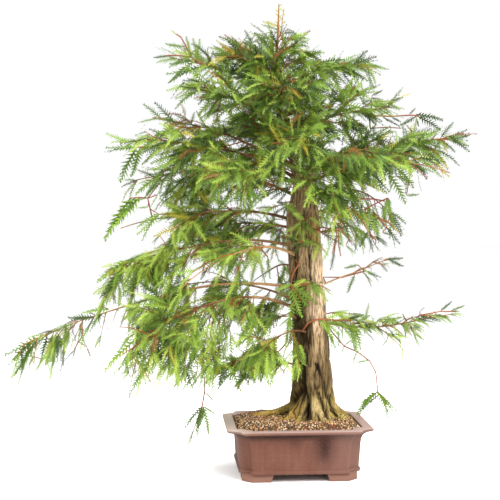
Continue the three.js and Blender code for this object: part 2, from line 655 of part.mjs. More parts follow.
// A mass of foliage: one stem that carries the limb on, with twigs and blades by turns along it.
function makeMass(limb, order) {
  const run = seededRun(order + 1);
  const share = limb.spread / bladeForm.usualSpread;
  const size = bladeForm.length * THREE.MathUtils.clamp(share, bladeForm.smallest, bladeForm.largest);
  const from = limb.bough ? limb.bare - boughForm.spare / limb.reach : 0;
  const end = 1 - (stemForm.tip * size) / Math.hypot(limb.reach, limb.rise);
  const steps = Math.max(stemForm.fewest, Math.round(((end - from) * limb.reach) / stemForm.step));
  const line = limbStretch(limb, from, end, steps);
  const radiusAt = (s) => limbRadius(limb, from + (end - from) * s);
  const stem = taperedTube(new THREE.CatmullRomCurve3(line), radiusAt, stemForm.sides, steps);
  const mass = { solid: stem };
  addBlades(mass, limb, stem, line.slice(-3), run, size, 0);
  for (let i = 0; i < 2 * limb.twigs; i++) {
    const u = (i + 0.5) / (2 * limb.twigs);
    const t = THREE.MathUtils.lerp(limb.bare, end, THREE.MathUtils.lerp(0.04, 0.98, u));
    const side = i % 4 < 2 ? 1 : -1;
    const full = limb.spread * (0.5 + 0.6 * Math.sin(Math.PI * Math.min(1, 0.25 + u)));
    if (i % 2) {
      const tangent = limbPoint(limb, t + 0.02).sub(limbPoint(limb, t - 0.02)).normalize();
      addBlade(mass, limb, stem, limbPoint(limb, t), tangent, -side, run, size);
    } else {
      addTwig(mass, limb, stem, t, full, side, run, size);
    }
  }
  if (limb.whip) {
    const points = whipPoints(limb);
    const whip = twigSolid(points);
    if (joinTo(mass, whip, stem)) {
      addBlades(mass, limb, whip, points, run, size * whipForm.size, whipForm.blades);
    }
  }
  return fuse([mass.solid]);
}

function trunkRadiusAt(z) {
  return stationValue(z > leaderAlone ? leaderStations : trunkStations, z, "r");
}

// A bough is the bare share of a limb, with a collar where it leaves the trunk.
function makeBough(limb) {
  const end = limb.bare + boughForm.spare / limb.reach;
  const steps = Math.max(boughForm.fewest, Math.round((limb.bare * limb.reach) / boughForm.step));
  const curve = new THREE.CatmullRomCurve3(limbStretch(limb, 0, end, steps));
  const length = curve.getLength();
  const start = trunkRadiusAt(limb.z);
  const radiusAt = (s) => {
    const past = Math.max(0, s * length - start) / boughForm.collarLength;
    return limbRadius(limb, end * s) * (1 + (boughForm.collar - 1) * Math.exp(-past));
  };
  return taperedTube(curve, radiusAt, boughForm.sides, steps).subtract(slab(limb, 0, boughForm.slab));
}

// A block square across a limb where its foliage starts, from one distance along it to another.
function slab(limb, from, to) {
  const block = new THREE.BoxGeometry(boughForm.slab, boughForm.slab, to - from);
  block.translate(0, 0, (from + to) / 2);
  const tangent = limbPoint(limb, limb.bare + 0.01).sub(limbPoint(limb, limb.bare - 0.01)).normalize();
  block.applyQuaternion(new THREE.Quaternion().setFromUnitVectors(up, tangent));
  const end = limbPoint(limb, limb.bare);
  block.translate(end.x, end.y, end.z);
  return toSolid(block);
}

function meshOf(name, solid, look) {
  const mesh = new THREE.Mesh(toGeometry(solid), new THREE.MeshStandardMaterial(look));
  mesh.name = name;
  return mesh;
}

const plant = new THREE.Group();
plant.add(meshOf("pot", makePot(), looks.pot));
plant.add(meshOf("soil", makeSoil(), looks.soil));
plant.add(meshOf("trunk", makeTrunk(), looks.trunk));

const trunkRoom = makeTrunk(clearance);
limbs.forEach((limb, order) => {
  let mass = makeMass(limb, order);
  if (limb.bough) {
    plant.add(meshOf(`bough_${limb.name}`, fuse([makeBough(limb).subtract(trunkRoom)]), looks.bough));
    mass = mass.subtract(slab(limb, -boughForm.slab, clearance));
  }
  mass = fuse([mass.subtract(trunkRoom)]);
  plant.add(meshOf(`mass_${limb.name}`, mass, looks.foliage));
});

// The plant is moved so that the origin is in the middle of its bounding box, with the feet at z = 0.
const box = new THREE.Box3().setFromObject(plant);
plant.position.set(-(box.min.x + box.max.x) / 2, -(box.min.y + box.max.y) / 2, 0);

export default plant;
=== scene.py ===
import json
import math

import bmesh
import bpy
from mathutils import Matrix, Vector, kdtree, noise

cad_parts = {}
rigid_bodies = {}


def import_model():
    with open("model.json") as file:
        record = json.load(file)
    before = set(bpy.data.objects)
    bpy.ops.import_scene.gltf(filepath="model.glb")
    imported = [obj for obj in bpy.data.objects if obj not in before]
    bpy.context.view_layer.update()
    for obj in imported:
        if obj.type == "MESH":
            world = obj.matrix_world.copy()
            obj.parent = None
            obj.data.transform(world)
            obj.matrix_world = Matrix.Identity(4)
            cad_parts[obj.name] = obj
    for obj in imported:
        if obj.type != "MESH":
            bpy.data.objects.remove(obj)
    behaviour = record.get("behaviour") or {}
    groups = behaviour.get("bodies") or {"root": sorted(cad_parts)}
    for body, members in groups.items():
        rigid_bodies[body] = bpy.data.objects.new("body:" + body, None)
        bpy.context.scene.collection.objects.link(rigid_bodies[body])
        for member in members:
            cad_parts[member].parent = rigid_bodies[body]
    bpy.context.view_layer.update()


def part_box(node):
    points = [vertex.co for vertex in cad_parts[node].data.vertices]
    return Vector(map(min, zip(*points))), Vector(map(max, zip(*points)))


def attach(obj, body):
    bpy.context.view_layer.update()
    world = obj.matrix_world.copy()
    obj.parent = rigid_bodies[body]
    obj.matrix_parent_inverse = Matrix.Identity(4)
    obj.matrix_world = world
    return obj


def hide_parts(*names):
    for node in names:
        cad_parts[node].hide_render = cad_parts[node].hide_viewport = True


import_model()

mm = 0.001
up = Vector((0, 0, 1))
potLow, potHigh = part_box("pot")
potCentre = Vector(((potLow.x + potHigh.x) / 2, (potLow.y + potHigh.y) / 2, 0))


# Sizes below are in millimetres from the middle of the pot's foot, as in the photograph's own measures.
def place(point):
    return Vector(point) * mm + potCentre


def tint(red, green, blue):  # a colour as the eye counts it, 0 to 255
    shares = [c / 255 for c in (red, green, blue)]
    return tuple(c / 12.92 if c < 0.0405 else ((c + 0.055) / 1.055) ** 2.4 for c in shares) + (1,)


def lerp(a, b, share):
    return a + (b - a) * share


def smooth(low, high, value):
    share = min(1, max(0, (value - low) / (high - low)))
    return share * share * (3 - 2 * share)


# Nodes, materials and pieces.

def addNode(tree, kind, inputs=None, **settings):
    node = tree.nodes.new(kind)
    for name, value in settings.items():
        setattr(node, name, value)
    for name, value in (inputs or {}).items():
        if isinstance(value, bpy.types.NodeSocket):
            tree.links.new(value, node.inputs[name])
        else:
            node.inputs[name].default_value = value
    return node


def newMaterial(name, colour, roughness, shine=0.5):
    material = bpy.data.materials.new(name)
    material.use_nodes = True
    material.diffuse_color = colour
    shader = material.node_tree.nodes["Principled BSDF"]
    for socket, value in (("Base Color", colour), ("Roughness", roughness), ("Specular IOR Level", shine)):
        shader.inputs[socket].default_value = value
    return material, material.node_tree, shader


def mixColours(tree, factor, first, second):
    return addNode(tree, "ShaderNodeMix", {0: factor, 6: first, 7: second}, data_type="RGBA").outputs[2]


def layered(tree, colour, layers):  # each layer is its share and the colour that it lays over those below
    for share, over in layers:
        colour = mixColours(tree, share, colour, over)
    return colour


def darker(colour, share):
    return tuple(c * share for c in colour[:3]) + (1,)


def spread(tree, value, low, high):  # a value's range from low to high as 0 to 1
    return addNode(tree, "ShaderNodeMapRange", {"Value": value, "From Min": low, "From Max": high}).outputs["Result"]


def combine(tree, operation, *values, **settings):
    return addNode(tree, "ShaderNodeMath", dict(enumerate(values)), operation=operation, **settings).outputs[0]


def objectPlace(tree):
    return addNode(tree, "ShaderNodeTexCoord").outputs["Object"]


def axesOf(tree, vector):
    return addNode(tree, "ShaderNodeSeparateXYZ", {0: vector}).outputs


def shareOf(tree, name):  # a value that the mesh carries, for a material
    return addNode(tree, "ShaderNodeAttribute", attribute_name=name).outputs["Fac"]


def fieldOf(tree, name, kind="FLOAT"):  # the same for Geometry Nodes
    return addNode(tree, "GeometryNodeInputNamedAttribute", {"Name": name}, data_type=kind).outputs[0]


def objectNoise(tree, scale, stretch=(1, 1, 1), detail=3, roughness=0.5):
    where = addNode(tree, "ShaderNodeMapping", {"Vector": objectPlace(tree), "Scale": stretch}).outputs[0]
    pattern = {"Vector": where, "Scale": scale, "Detail": detail, "Roughness": roughness}
    return addNode(tree, "ShaderNodeTexNoise", pattern).outputs["Fac"]


def finishSurface(tree, shader, colour, height, strength, distance):
    tree.links.new(colour, shader.inputs["Base Color"])
    bump = addNode(tree, "ShaderNodeBump", {"Height": height, "Strength": strength, "Distance": distance})
    tree.links.new(bump.outputs[0], shader.inputs["Normal"])


def newObject(name, data):
    piece = bpy.data.objects.new(name, data)
    bpy.context.scene.collection.objects.link(piece)
    return piece


def discard(*pieces):
    for piece in pieces:
        bpy.data.objects.remove(piece)


def meshFrom(name, points, faces, edges=()):
    mesh = bpy.data.meshes.new(name)
    mesh.from_pydata([tuple(p) for p in points], list(edges), faces)
    mesh.update()
    return mesh


def meshOf(name, form):  # an edited form as a plain mesh
    mesh = bpy.data.meshes.new(name)
    form.to_mesh(mesh)
    form.free()
    return mesh


def joinMeshes(name, meshes):
    whole = bmesh.new()
    for mesh in meshes:
        whole.from_mesh(mesh)
    return meshOf(name, whole)


def giveField(mesh, name, values, kind="FLOAT", key="value"):  # one value for each point
    mesh.attributes.new(name, kind, "POINT").data.foreach_set(key, values)


def evaluated(piece, name):  # the piece with its modifiers applied, as a plain mesh of its own
    bpy.context.view_layer.update()
    graph = bpy.context.evaluated_depsgraph_get()
    mesh = bpy.data.meshes.new_from_object(piece.evaluated_get(graph), depsgraph=graph)
    mesh.name = name
    return mesh


def finishPiece(name, mesh, slotName, nodes, material=None):
    piece = newObject(name, mesh)
    if material:
        mesh.materials.clear()
        mesh.materials.append(material)
    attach(piece, "root")
    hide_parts(*nodes)
    print(name, sum(len(face.vertices) - 2 for face in mesh.polygons), "triangles")
    return piece


def newTree(name, sockets):
    tree = bpy.data.node_groups.new(name, "GeometryNodeTree")
    tree.interface.new_socket("Geometry", in_out="INPUT", socket_type="NodeSocketGeometry")
    for label, kind, value in sockets:
        socket = tree.interface.new_socket(label, in_out="INPUT", socket_type="NodeSocket" + kind)
        if value is not None:
            socket.default_value = value
    tree.interface.new_socket("Geometry", in_out="OUTPUT", socket_type="NodeSocketGeometry")
    return tree, tree.nodes.new("NodeGroupInput").outputs


def endTree(tree, geometry, material):
    geometry = addNode(tree, "GeometryNodeRealizeInstances", {"Geometry": geometry}).outputs[0]
    geometry = addNode(tree, "GeometryNodeSetMaterial", {"Geometry": geometry, "Material": material}).outputs[0]
    tree.links.new(geometry, tree.nodes.new("NodeGroupOutput").inputs[0])


def growTree(source, tree, name, **values):  # runs a tree on a source object and keeps only its mesh
    modifier = source.modifiers.new(tree.name, "NODES")
    modifier.node_group = tree
    for socket in tree.interface.items_tree:
        if socket.in_out == "INPUT" and socket.name in values:
            modifier[socket.identifier] = values[socket.name]
    mesh = evaluated(source, name)
    source.modifiers.remove(modifier)
    return mesh


def loftFaces(ringCount, sides):
    faces = []
    for ring in range(ringCount - 1):
        for side in range(sides):
            a = ring * sides + side
            b = ring * sides + (side + 1) % sides
            faces.append((a, b, b + sides, a + sides))
    faces.append(tuple(reversed(range(sides))))
    faces.append(tuple(range((ringCount - 1) * sides, ringCount * sides)))
    return faces


# Camera, light and floor.

cameraSettings = {
    "position": (-421, -3521, 828),
    "yaw": 4.44,  # degrees from square on
    "pitch": -1.78,
    "lens": 79.2,
    "farthest": 100,  # metres
}


def makeCamera():
    yaw = math.radians(cameraSettings["yaw"])
    pitch = math.radians(cameraSettings["pitch"])
    ahead = Vector((math.sin(yaw) * math.cos(pitch), math.cos(yaw) * math.cos(pitch), math.sin(pitch)))
    camera = newObject("camera", bpy.data.cameras.new("camera"))
    camera.data.lens = cameraSettings["lens"]
    camera.data.clip_end = cameraSettings["farthest"]
    camera.location = place(cameraSettings["position"])
    camera.rotation_euler = ahead.to_track_quat("-Z", "Y").to_euler()
    bpy.context.scene.camera = camera


studioSettings = {
    "world": (1, 1, 1, 1),
    "worldStrength": 1.0,
    "floorSize": 60,  # metres
    "aim": 0.7,  # height that the lights point at
    "lights": {  # place in metres from the pot, size, watts
        "keyLight": ((1.9, -2.9, 3.3), 3.4, 250),
        "sideLight": ((-3.0, -1.9, 2.4), 2.4, 105),
        "topLight": ((0.3, 0.4, 4.0), 2.4, 150),
    },
}


def makeStudio():
    world = bpy.data.worlds.new("studio")
    world.use_nodes = True
    background = world.node_tree.nodes["Background"]
    background.inputs["Color"].default_value = studioSettings["world"]
    background.inputs["Strength"].default_value = studioSettings["worldStrength"]
    bpy.context.scene.world = world
    bpy.context.scene.view_settings.view_transform = "Standard"
    half = studioSettings["floorSize"] / 2
    corners = [(-half, -half, 0), (half, -half, 0), (half, half, 0), (-half, half, 0)]
    floor = newObject("floor", meshFrom("floor", corners, [(0, 1, 2, 3)]))
    paper, _, _ = newMaterial("pale paper", tint(254, 254, 254), 0.95)
    floor.data.materials.append(paper)
    for name, (position, size, power) in studioSettings["lights"].items():
        light = bpy.data.lights.new(name, "AREA")
        light.shape = "DISK"
        light.size = size
        light.energy = power
        lamp = newObject(name, light)
        lamp.location = Vector(position) + potCentre
        ahead = Vector((0, 0, studioSettings["aim"])) + potCentre - lamp.location
        lamp.rotation_euler = ahead.to_track_quat("-Z", "Y").to_euler()


# The tree's own measures, as in the solids.

trunkStations = [  # height, x, y, radius
    (170, 56, 0, 80), (232, 55, 0, 71), (330, 53, 2, 63), (450, 49, 4, 57.5), (640, 36, 6, 53.5),
    (820, 23, 4, 53), (880, 25, 2, 42), (935, 25, 0, 30), (975, 25, 0, 15),
]
leaderStations = [
    (890, 18, 0, 24), (985, -2, 0, 15), (1040, -20, 2, 11), (1103, -46, 4, 9.5), (1180, -55, 4, 8),
    (1290, -53, 0, 6), (1350, -62, -3, 5), (1412, -58, 0, 3.6), (1505, -55, 0, 1.4),
]
leaderAlone = 960  # from this height up the leader is the whole trunk
groundLevel = 178
roots = [  # direction, length, radius, height where it leaves the axis
    (166, 240, 17, 236), (204, 150, 23, 300), (238, 128, 22, 286), (290, 142, 24, 284),
    (334, 132, 29, 276), (14, 140, 30, 284), (62, 136, 30, 290), (118, 138, 29, 282),
]
rootForm = {"inner": 0.12, "fall": 2.4, "sunk": 0.3, "taper": 0.5, "steps": 24, "wander": (5, 7)}
buttress = {"height": 42, "width": 0.26, "share": 0.4}


def stationValue(stations, z, key):
    last = len(stations) - 1
    i = 0
    while i < last - 1 and z > stations[i + 1][0]:
        i += 1

    def at(k):
        return stations[min(last, max(0, k))]

    def slope(k):
        return (at(k + 1)[key] - at(k - 1)[key]) / (at(k + 1)[0] - at(k - 1)[0])

    span = stations[i + 1][0] - stations[i][0]
    s = min(1, max(0, (z - stations[i][0]) / span))
    rise = s * s * (3 - 2 * s)
    bend = s * (1 - s) * (1 - s) * slope(i) - s * s * (1 - s) * slope(i + 1)
    return at(i)[key] * (1 - rise) + at(i + 1)[key] * rise + span * bend


def stationPoint(stations, z):
    return Vector((stationValue(stations, z, 1), stationValue(stations, z, 2), z))


def trunkCentre(z):
    return stationPoint(leaderStations if z > trunkStations[-2][0] else trunkStations, z)


def trunkRadiusAt(z):
    return stationValue(leaderStations if z > leaderAlone else trunkStations, z, 3)


def buttressAt(angle, z):
    total = 0
    for azimuth, _, radius, _ in roots:
        turn = angle - math.radians(azimuth)
        off = math.atan2(math.sin(turn), math.cos(turn)) / buttress["width"]
        total += buttress["share"] * radius * math.exp(-off * off - (z - groundLevel) / buttress["height"])
    return total


# A limb: height it leaves the trunk's axis at, compass direction, level reach, rise, arch, radius, bare share,
# how far its side twigs reach, and whether it is a solid bough of its own.
limbs = [
    ("lowest_left", 330, 190, 345, 8, 34, 5, 0.3, 110, True),
    ("front_low_left", 440, 232, 350, -60, 50, 5, 0.26, 110, False),
    ("low_right", 485, 352, 520, 45, -30, 6, 0.24, 80, True),
    ("low_left", 508, 198, 660, -140, 120, 8, 0.42, 170, True),
    ("inner_left", 522, 168, 500, 40, 70, 6, 0.38, 130, True),
    ("mid_right", 578, 3, 310, 118, 10, 4, 0.42, 60, True),
    ("front_tuft", 592, 275, 170, 0, 24, 3, 0.4, 66, False),
    ("far_left", 596, 182, 968, -212, 82, 7, 0.6, 100, True),
    ("back_low", 640, 116, 400, -90, 60, 6, 0.3, 140, True),
    ("front_left_mid", 690, 212, 540, -130, 90, 7, 0.34, 150, True),
    ("mid_left", 722, 181, 680, -98, 64, 7, 0.38, 150, True),
    ("back_mid_left", 768, 144, 500, -60, 66, 6, 0.3, 150, True),
    ("back_mid_right", 800, 62, 400, -40, 66, 6, 0.3, 140, True),
    ("upper_mid_left", 804, 175, 650, -46, 60, 7, 0.36, 150, True),
    ("drooping_right", 862, 2, 350, -110, 105, 6, 0.34, 120, True),
    ("front_right_mid", 868, 292, 270, 0, 40, 4.5, 0.3, 110, False),
    ("back_left", 884, 163, 630, 42, 70, 7, 0.36, 150, True),
    ("front_left_high", 905, 222, 470, 6, 60, 6.5, 0.28, 150, True),
    ("right_leader", 985, 24, 92, 265, 0, 7, 0.36, 120, True),
    ("right", 925, 338, 530, 12, 60, 7, 0.3, 130, True),
    ("upper_left", 930, 187, 650, 105, 72, 8, 0.36, 150, True),
    ("front_right_high", 945, 306, 410, 50, 50, 6, 0.26, 140, False),
    ("back_right", 922, 60, 450, 105, 40, 6.5, 0.26, 150, False),
    ("far_right", 962, 4, 560, 122, 22, 7.5, 0.34, 120, True),
    ("front_high", 985, 258, 350, 34, 50, 6, 0.24, 140, False),
    ("rising_left", 990, 174, 500, 165, 24, 7, 0.32, 130, True),
    ("back_high_left", 1020, 132, 430, 70, 40, 6, 0.26, 140, False),
    ("high_right", 1085, 350, 400, 92, 24, 5, 0.22, 125, False),
    ("high_left", 1130, 192, 380, 122, 18, 5, 0.22, 115, False),
    ("front_top", 1150, 268, 280, 70, 24, 4.5, 0.2, 120, False),
    ("back_top", 1165, 84, 310, 80, 24, 4.5, 0.2, 125, False),
    ("top_left", 1206, 178, 405, 122, 36, 4.5, 0.34, 80, False),
    ("top_back_left", 1222, 150, 125, 216, 0, 4, 0.16, 90, False),
    ("top_right", 1240, 357, 350, 66, 30, 4.5, 0.2, 100, False),
    ("crown_left", 1262, 204, 250, 70, 16, 3.6, 0.18, 100, False),
    ("crown_right", 1296, 20, 180, 66, 14, 3.4, 0.14, 90, False),
    ("crown_tip", 1345, 320, 100, 92, 0, 3, 0.1, 60, False),
]
limbKeys = ("name", "z", "azimuth", "reach", "rise", "arch", "radius", "bare", "spread", "bough")
limbs = [dict(zip(limbKeys, limb)) for limb in limbs]
massNames = ["mass_" + limb["name"] for limb in limbs]
limbTip = {"radius": 1.6, "taper": 1.2}
limbForm = {"cutShort": 62, "tangentStep": 0.02}  # what the limb stops short of its reach, in millimetres
crooks = {"share": 0.014, "waves": 9, "lift": 0.5}
foliageHeights = {"lowest": 268, "level": 1350, "highest": 1456}


def seededRun(seed):  # a repeatable run of numbers between 0 and 1
    state = (seed * 7919 + 101) % 2147483647

    def run():
        nonlocal state
        state = (state * 16807) % 2147483647
        return state / 2147483647

    return run


def limbPoint(limb, t):
    angle = math.radians(limb["azimuth"])
    start = trunkCentre(limb["z"])
    crook = limb["reach"] * crooks["share"] * math.sin(t * crooks["waves"] + limb["z"])
    return Vector((
        start.x + math.cos(angle) * limb["reach"] * t - math.sin(angle) * crook,
        start.y + math.sin(angle) * limb["reach"] * t + math.cos(angle) * crook,
        limb["z"] + limb["rise"] * t + limb["arch"] * 4 * t * (1 - t) + crook * crooks["lift"],
    ))


def limbTangent(limb, t):
    step = limbForm["tangentStep"]
    return (limbPoint(limb, t + step) - limbPoint(limb, t - step)).normalized()


def limbEnd(limb):
    return 1 - limbForm["cutShort"] / math.hypot(limb["reach"], limb["rise"])


def limbRadius(limb, t):
    return limbTip["radius"] + (limb["radius"] - limbTip["radius"]) * (1 - t) ** limbTip["taper"]


def direction(azimuth, pitch):
    a = math.radians(azimuth)
    p = math.radians(pitch)
    return Vector((math.cos(a) * math.cos(p), math.sin(a) * math.cos(p), math.sin(p)))


def twigPoints(origin, heading, length, sag, steps):
    points = []
    for i in range(steps + 1):
        s = length * i / steps
        points.append(origin + heading * s - up * (sag * s * s / length))
    return points


def droopAt(z):
    share = (z - foliageHeights["lowest"]) / (foliageHeights["level"] - foliageHeights["lowest"])
    return max(0, 1 - share)


# Growth: limbs, twigs on them, finer twigs on those, and sprays of needles along all of them.

growth = {
    "limbStep": 9,
    "twigGap": 21,  # along a limb, on alternate sides
    "fork": (30, 58),
    "roll": 62,
    "sag": 0.24,
    "leastSag": 0.3,  # share of the sag that twigs at the top have
    "extraSag": 0.25,
    "longest": 1.1,
    "lengthRange": 0.45,
    "blade": 40,  # what a twig grows past the solid's own twig, where that one's blades are
    "inner": (0.45, 900),  # share of the bare limb that stays bare, above this height
    "short": 0.6,  # length of every second pair of twigs, and of twigs where the limb is thinly leaved
    "innerShort": 0.7,  # length of twigs on the part of a limb that is bare in the solid
    "fineGap": 24,  # along a twig
    "fineShare": 0.42,  # of its parent's length
    "fineShortest": 16,
    "fineSpan": (0.12, 0.74),  # where on its parent the first stands, and over how much of it they follow
    "fineRoll": 1.3,  # times the roll
    "fineDroop": 0.35,
    "stepLength": 12,
    "radii": ((2.0, 1.0), (1.0, 0.6)),  # of a twig and of a finer twig, at root and tip
    "margin": 14,  # past the boxes of the masses
    "clearance": (1.1, 6),  # of leaves from the trunk: times its radius, and millimetres more
    "barest": 0.11,  # a twig is left out where less than this share of the sprays is kept
}
innerShoots = {
    "count": 40,
    "heights": (950, 1375),
    "lengths": (210, 50),
    "pitches": (24, 52),
    "turn": 137.5,
    "radii": (2.4, 1.8),
    "clearance": (1.1, 8),
}
bareTwigs = {
    "count": 46,
    "heights": (930, 1300),
    "lengths": (210, 90),
    "pitches": (-6, 40),
    "turn": 99,
    "crook": 7,
    "steps": 8,
    "forksAt": (3, 5, 6),
    "radii": (2.6, 1.3),
    "forkRadii": (1.5, 1.05),
}
sprayRule = {
    "gap": 8.9,
    "limbGap": 1.7,  # times the gap, along the limb itself
    "length": 74,
    "range": 0.6,
    "fork": 40,
    "forkRange": 46,
    "roll": 75,
    "droop": (0.34, 0.1, 1.7),
    "outward": 0.3,  # how far hanging sprays turn away from the trunk
    "tilt": (0.7, 1.35),  # how far a spray turns about its stalk, high up and low down
}
# Where limbs differ from the rest: how many twigs, how long their sprays, how their twigs hang, the share of the
# limb that is bare, the stretch of it that is thinly leaved, and what of its side reach its tip keeps.
plainLook = {"twigs": 1, "sprays": 1, "hang": 0, "bare": None, "thin": (0.9, 1), "tip": 0.34}
looks = {
    "low_right": {"sprays": 0.72, "hang": -0.35, "bare": 0.02},
    "mid_right": {"twigs": 0.4, "sprays": 0.5, "bare": 0.42},
    "far_left": {"twigs": 1.15, "sprays": 0.9, "hang": 0.9, "bare": 0.36, "thin": (0.58, 0.76), "tip": 0.9},
    "lowest_left": {"twigs": 2.2, "hang": 0.05, "bare": 0.2},
    "front_low_left": {"twigs": 1.9, "hang": 0.25, "bare": 0.3},
    "low_left": {"twigs": 1.9, "hang": 0.3, "bare": 0.3, "thin": (0.95, 1)},
    "inner_left": {"twigs": 1.4, "hang": 0.25, "bare": 0.1},
    "front_tuft": {"twigs": 1.2, "sprays": 0.9, "hang": 0.4, "bare": 0.3},
    "right_leader": {"twigs": 0.8, "sprays": 0.8, "bare": 0.3},
    "top_left": {"twigs": 0.85, "sprays": 0.85, "hang": -0.6, "bare": 0.12},
    "right": {"twigs": 1.1, "bare": 0.15, "thin": (0.68, 1)},
    "far_right": {"twigs": 1.1, "hang": -0.15, "bare": 0.15},
    "back_low": {"twigs": 1.1, "hang": 0.5, "bare": 0.2},
    "front_left_mid": {"twigs": 1.2, "hang": 0.3, "bare": 0.25},
    "drooping_right": {"twigs": 0.9, "hang": 0.5, "bare": 0.25},
    "back_mid_left": {"twigs": 1.2, "bare": 0.1},
    "back_left": {"twigs": 1.2, "bare": 0.1, "thin": (0.8, 1)},
    "mid_left": {"twigs": 1.4, "hang": 0.45, "bare": 0.3, "thin": (0.96, 1), "tip": 0.6},
    "upper_mid_left": {"bare": 0.2, "thin": (0.76, 1)},
    "upper_left": {"bare": 0.16, "thin": (0.78, 1)},
    "crown_left": {"twigs": 1.6, "hang": -0.6, "bare": 0.1},
    "top_back_left": {"twigs": 2, "sprays": 0.9, "hang": -0.3, "bare": 0.1},
}
twigLines = []  # (points, radius at root, radius at tip)
sprays = []  # (root, turn, length, shade, kind)
# The space foliage may fill: the boxes of the masses, a little wider, and where masses meet beside the trunk.
rooms = [
    (Vector((-330, -210, 268)), Vector((20, 60, 610))), (Vector((-270, 10, 620)), Vector((0, 270, 960))),
    (Vector((80, -120, 400)), Vector((180, 70, 560))), (Vector((-60, -160, 600)), Vector((120, 0, 930))),
]
# Shoots set one by one: radii of their twigs and stalks, the shortest stalk that is drawn, and for the two blades
# of each spray its tilt, its length and how many kinds on it is.
loneForm = {"twig": (2.6, 2.2), "stalk": (1.8, 1.5), "shortest": 4, "blades": ((1.5, 1, 3), (1.1, 1.06, 0))}
loneTwigs = [  # thin shoots, through these points
    [(100, -22, 484), (112, -26, 458), (154, -26, 409), (199, -26, 389), (238, -26, 360), (258, -26, 321),
     (265, -26, 256)],
    [(-241, 2, 1291), (-285, 2, 1304), (-338, 2, 1334), (-379, 2, 1338), (-414, 2, 1337)],
    [(-338, 2, 1334), (-354, 2, 1372), (-368, 2, 1396), (-382, 2, 1405)],
    [(233, 30, 1155), (316, 30, 1152), (373, 30, 1156), (398, 30, 1156)],
    [(248, 34, 1113), (305, 34, 1117), (349, 34, 1114)], [(430, 38, 1076), (467, 38, 1078), (512, 38, 1079)],
    [(92, 14, 629), (152, 14, 628), (231, 14, 649)],
    [(366, -62, 497), (393, -62, 510), (460, -62, 522), (510, -62, 521)],
    [(-196, -44, 366), (-262, -50, 344), (-296, -55, 315), (-295, -55, 277), (-304, -55, 224)],
    [(132, -30, 802), (134, -30, 781), (134, -30, 738), (142, -30, 699)],
    [(81, -30, 792), (107, -30, 786), (133, -30, 780)], [(183, -30, 882), (248, -30, 882), (285, -30, 875)],
    [(217, -30, 847), (252, -30, 866), (293, -30, 885)], [(-679, -30, 476), (-682, -30, 447), (-702, -30, 414)],
    [(171, -30, 856), (210, -30, 815), (235, -30, 773), (256, -30, 750)],
    [(249, -30, 840), (269, -30, 818), (291, -30, 791)], [(133, -30, 783), (149, -30, 773), (168, -30, 754)],
    [(121, -30, 821), (129, -30, 770), (120, -30, 712)], [(225, 14, 650), (205, 14, 669)],
    [(210, -30, 815), (223, -30, 795), (230, -30, 776)], [(269, -30, 818), (295, -30, 808), (308, -30, 795)],
    [(10, -62, 561), (-6, -62, 590), (-22, -62, 610)], [(-22, -60, 610), (-19, -60, 637), (6, -60, 682)],
    [(33, -56, 487), (58, -56, 498), (91, -56, 498)], [(92, -48, 497), (124, -48, 495), (169, -48, 495)],
    [(19, -62, 739), (6, -62, 751), (-7, -62, 755)], [(-5, -50, 503), (-18, -50, 509), (-24, -50, 503)],
    [(-168, -10, 722), (-149, -10, 699), (-129, -10, 680), (-113, -10, 677)],
    [(-258, -10, 700), (-270, -10, 680), (-293, -10, 687)], [(-118, -30, 508), (-144, -30, 473), (-163, -30, 467)],
    [(-144, -30, 473), (-131, -30, 447)], [(-474, -8, 884), (-500, -10, 887), (-530, -10, 884)],
    [(-30, -20, 423), (-43, -20, 407), (-59, -20, 391), (-85, -20, 398), (-111, -20, 414)],
    [(-110, -10, 718), (-91, -10, 696)], [(-17, -10, 923), (-36, -10, 917), (-81, -10, 911)],
]
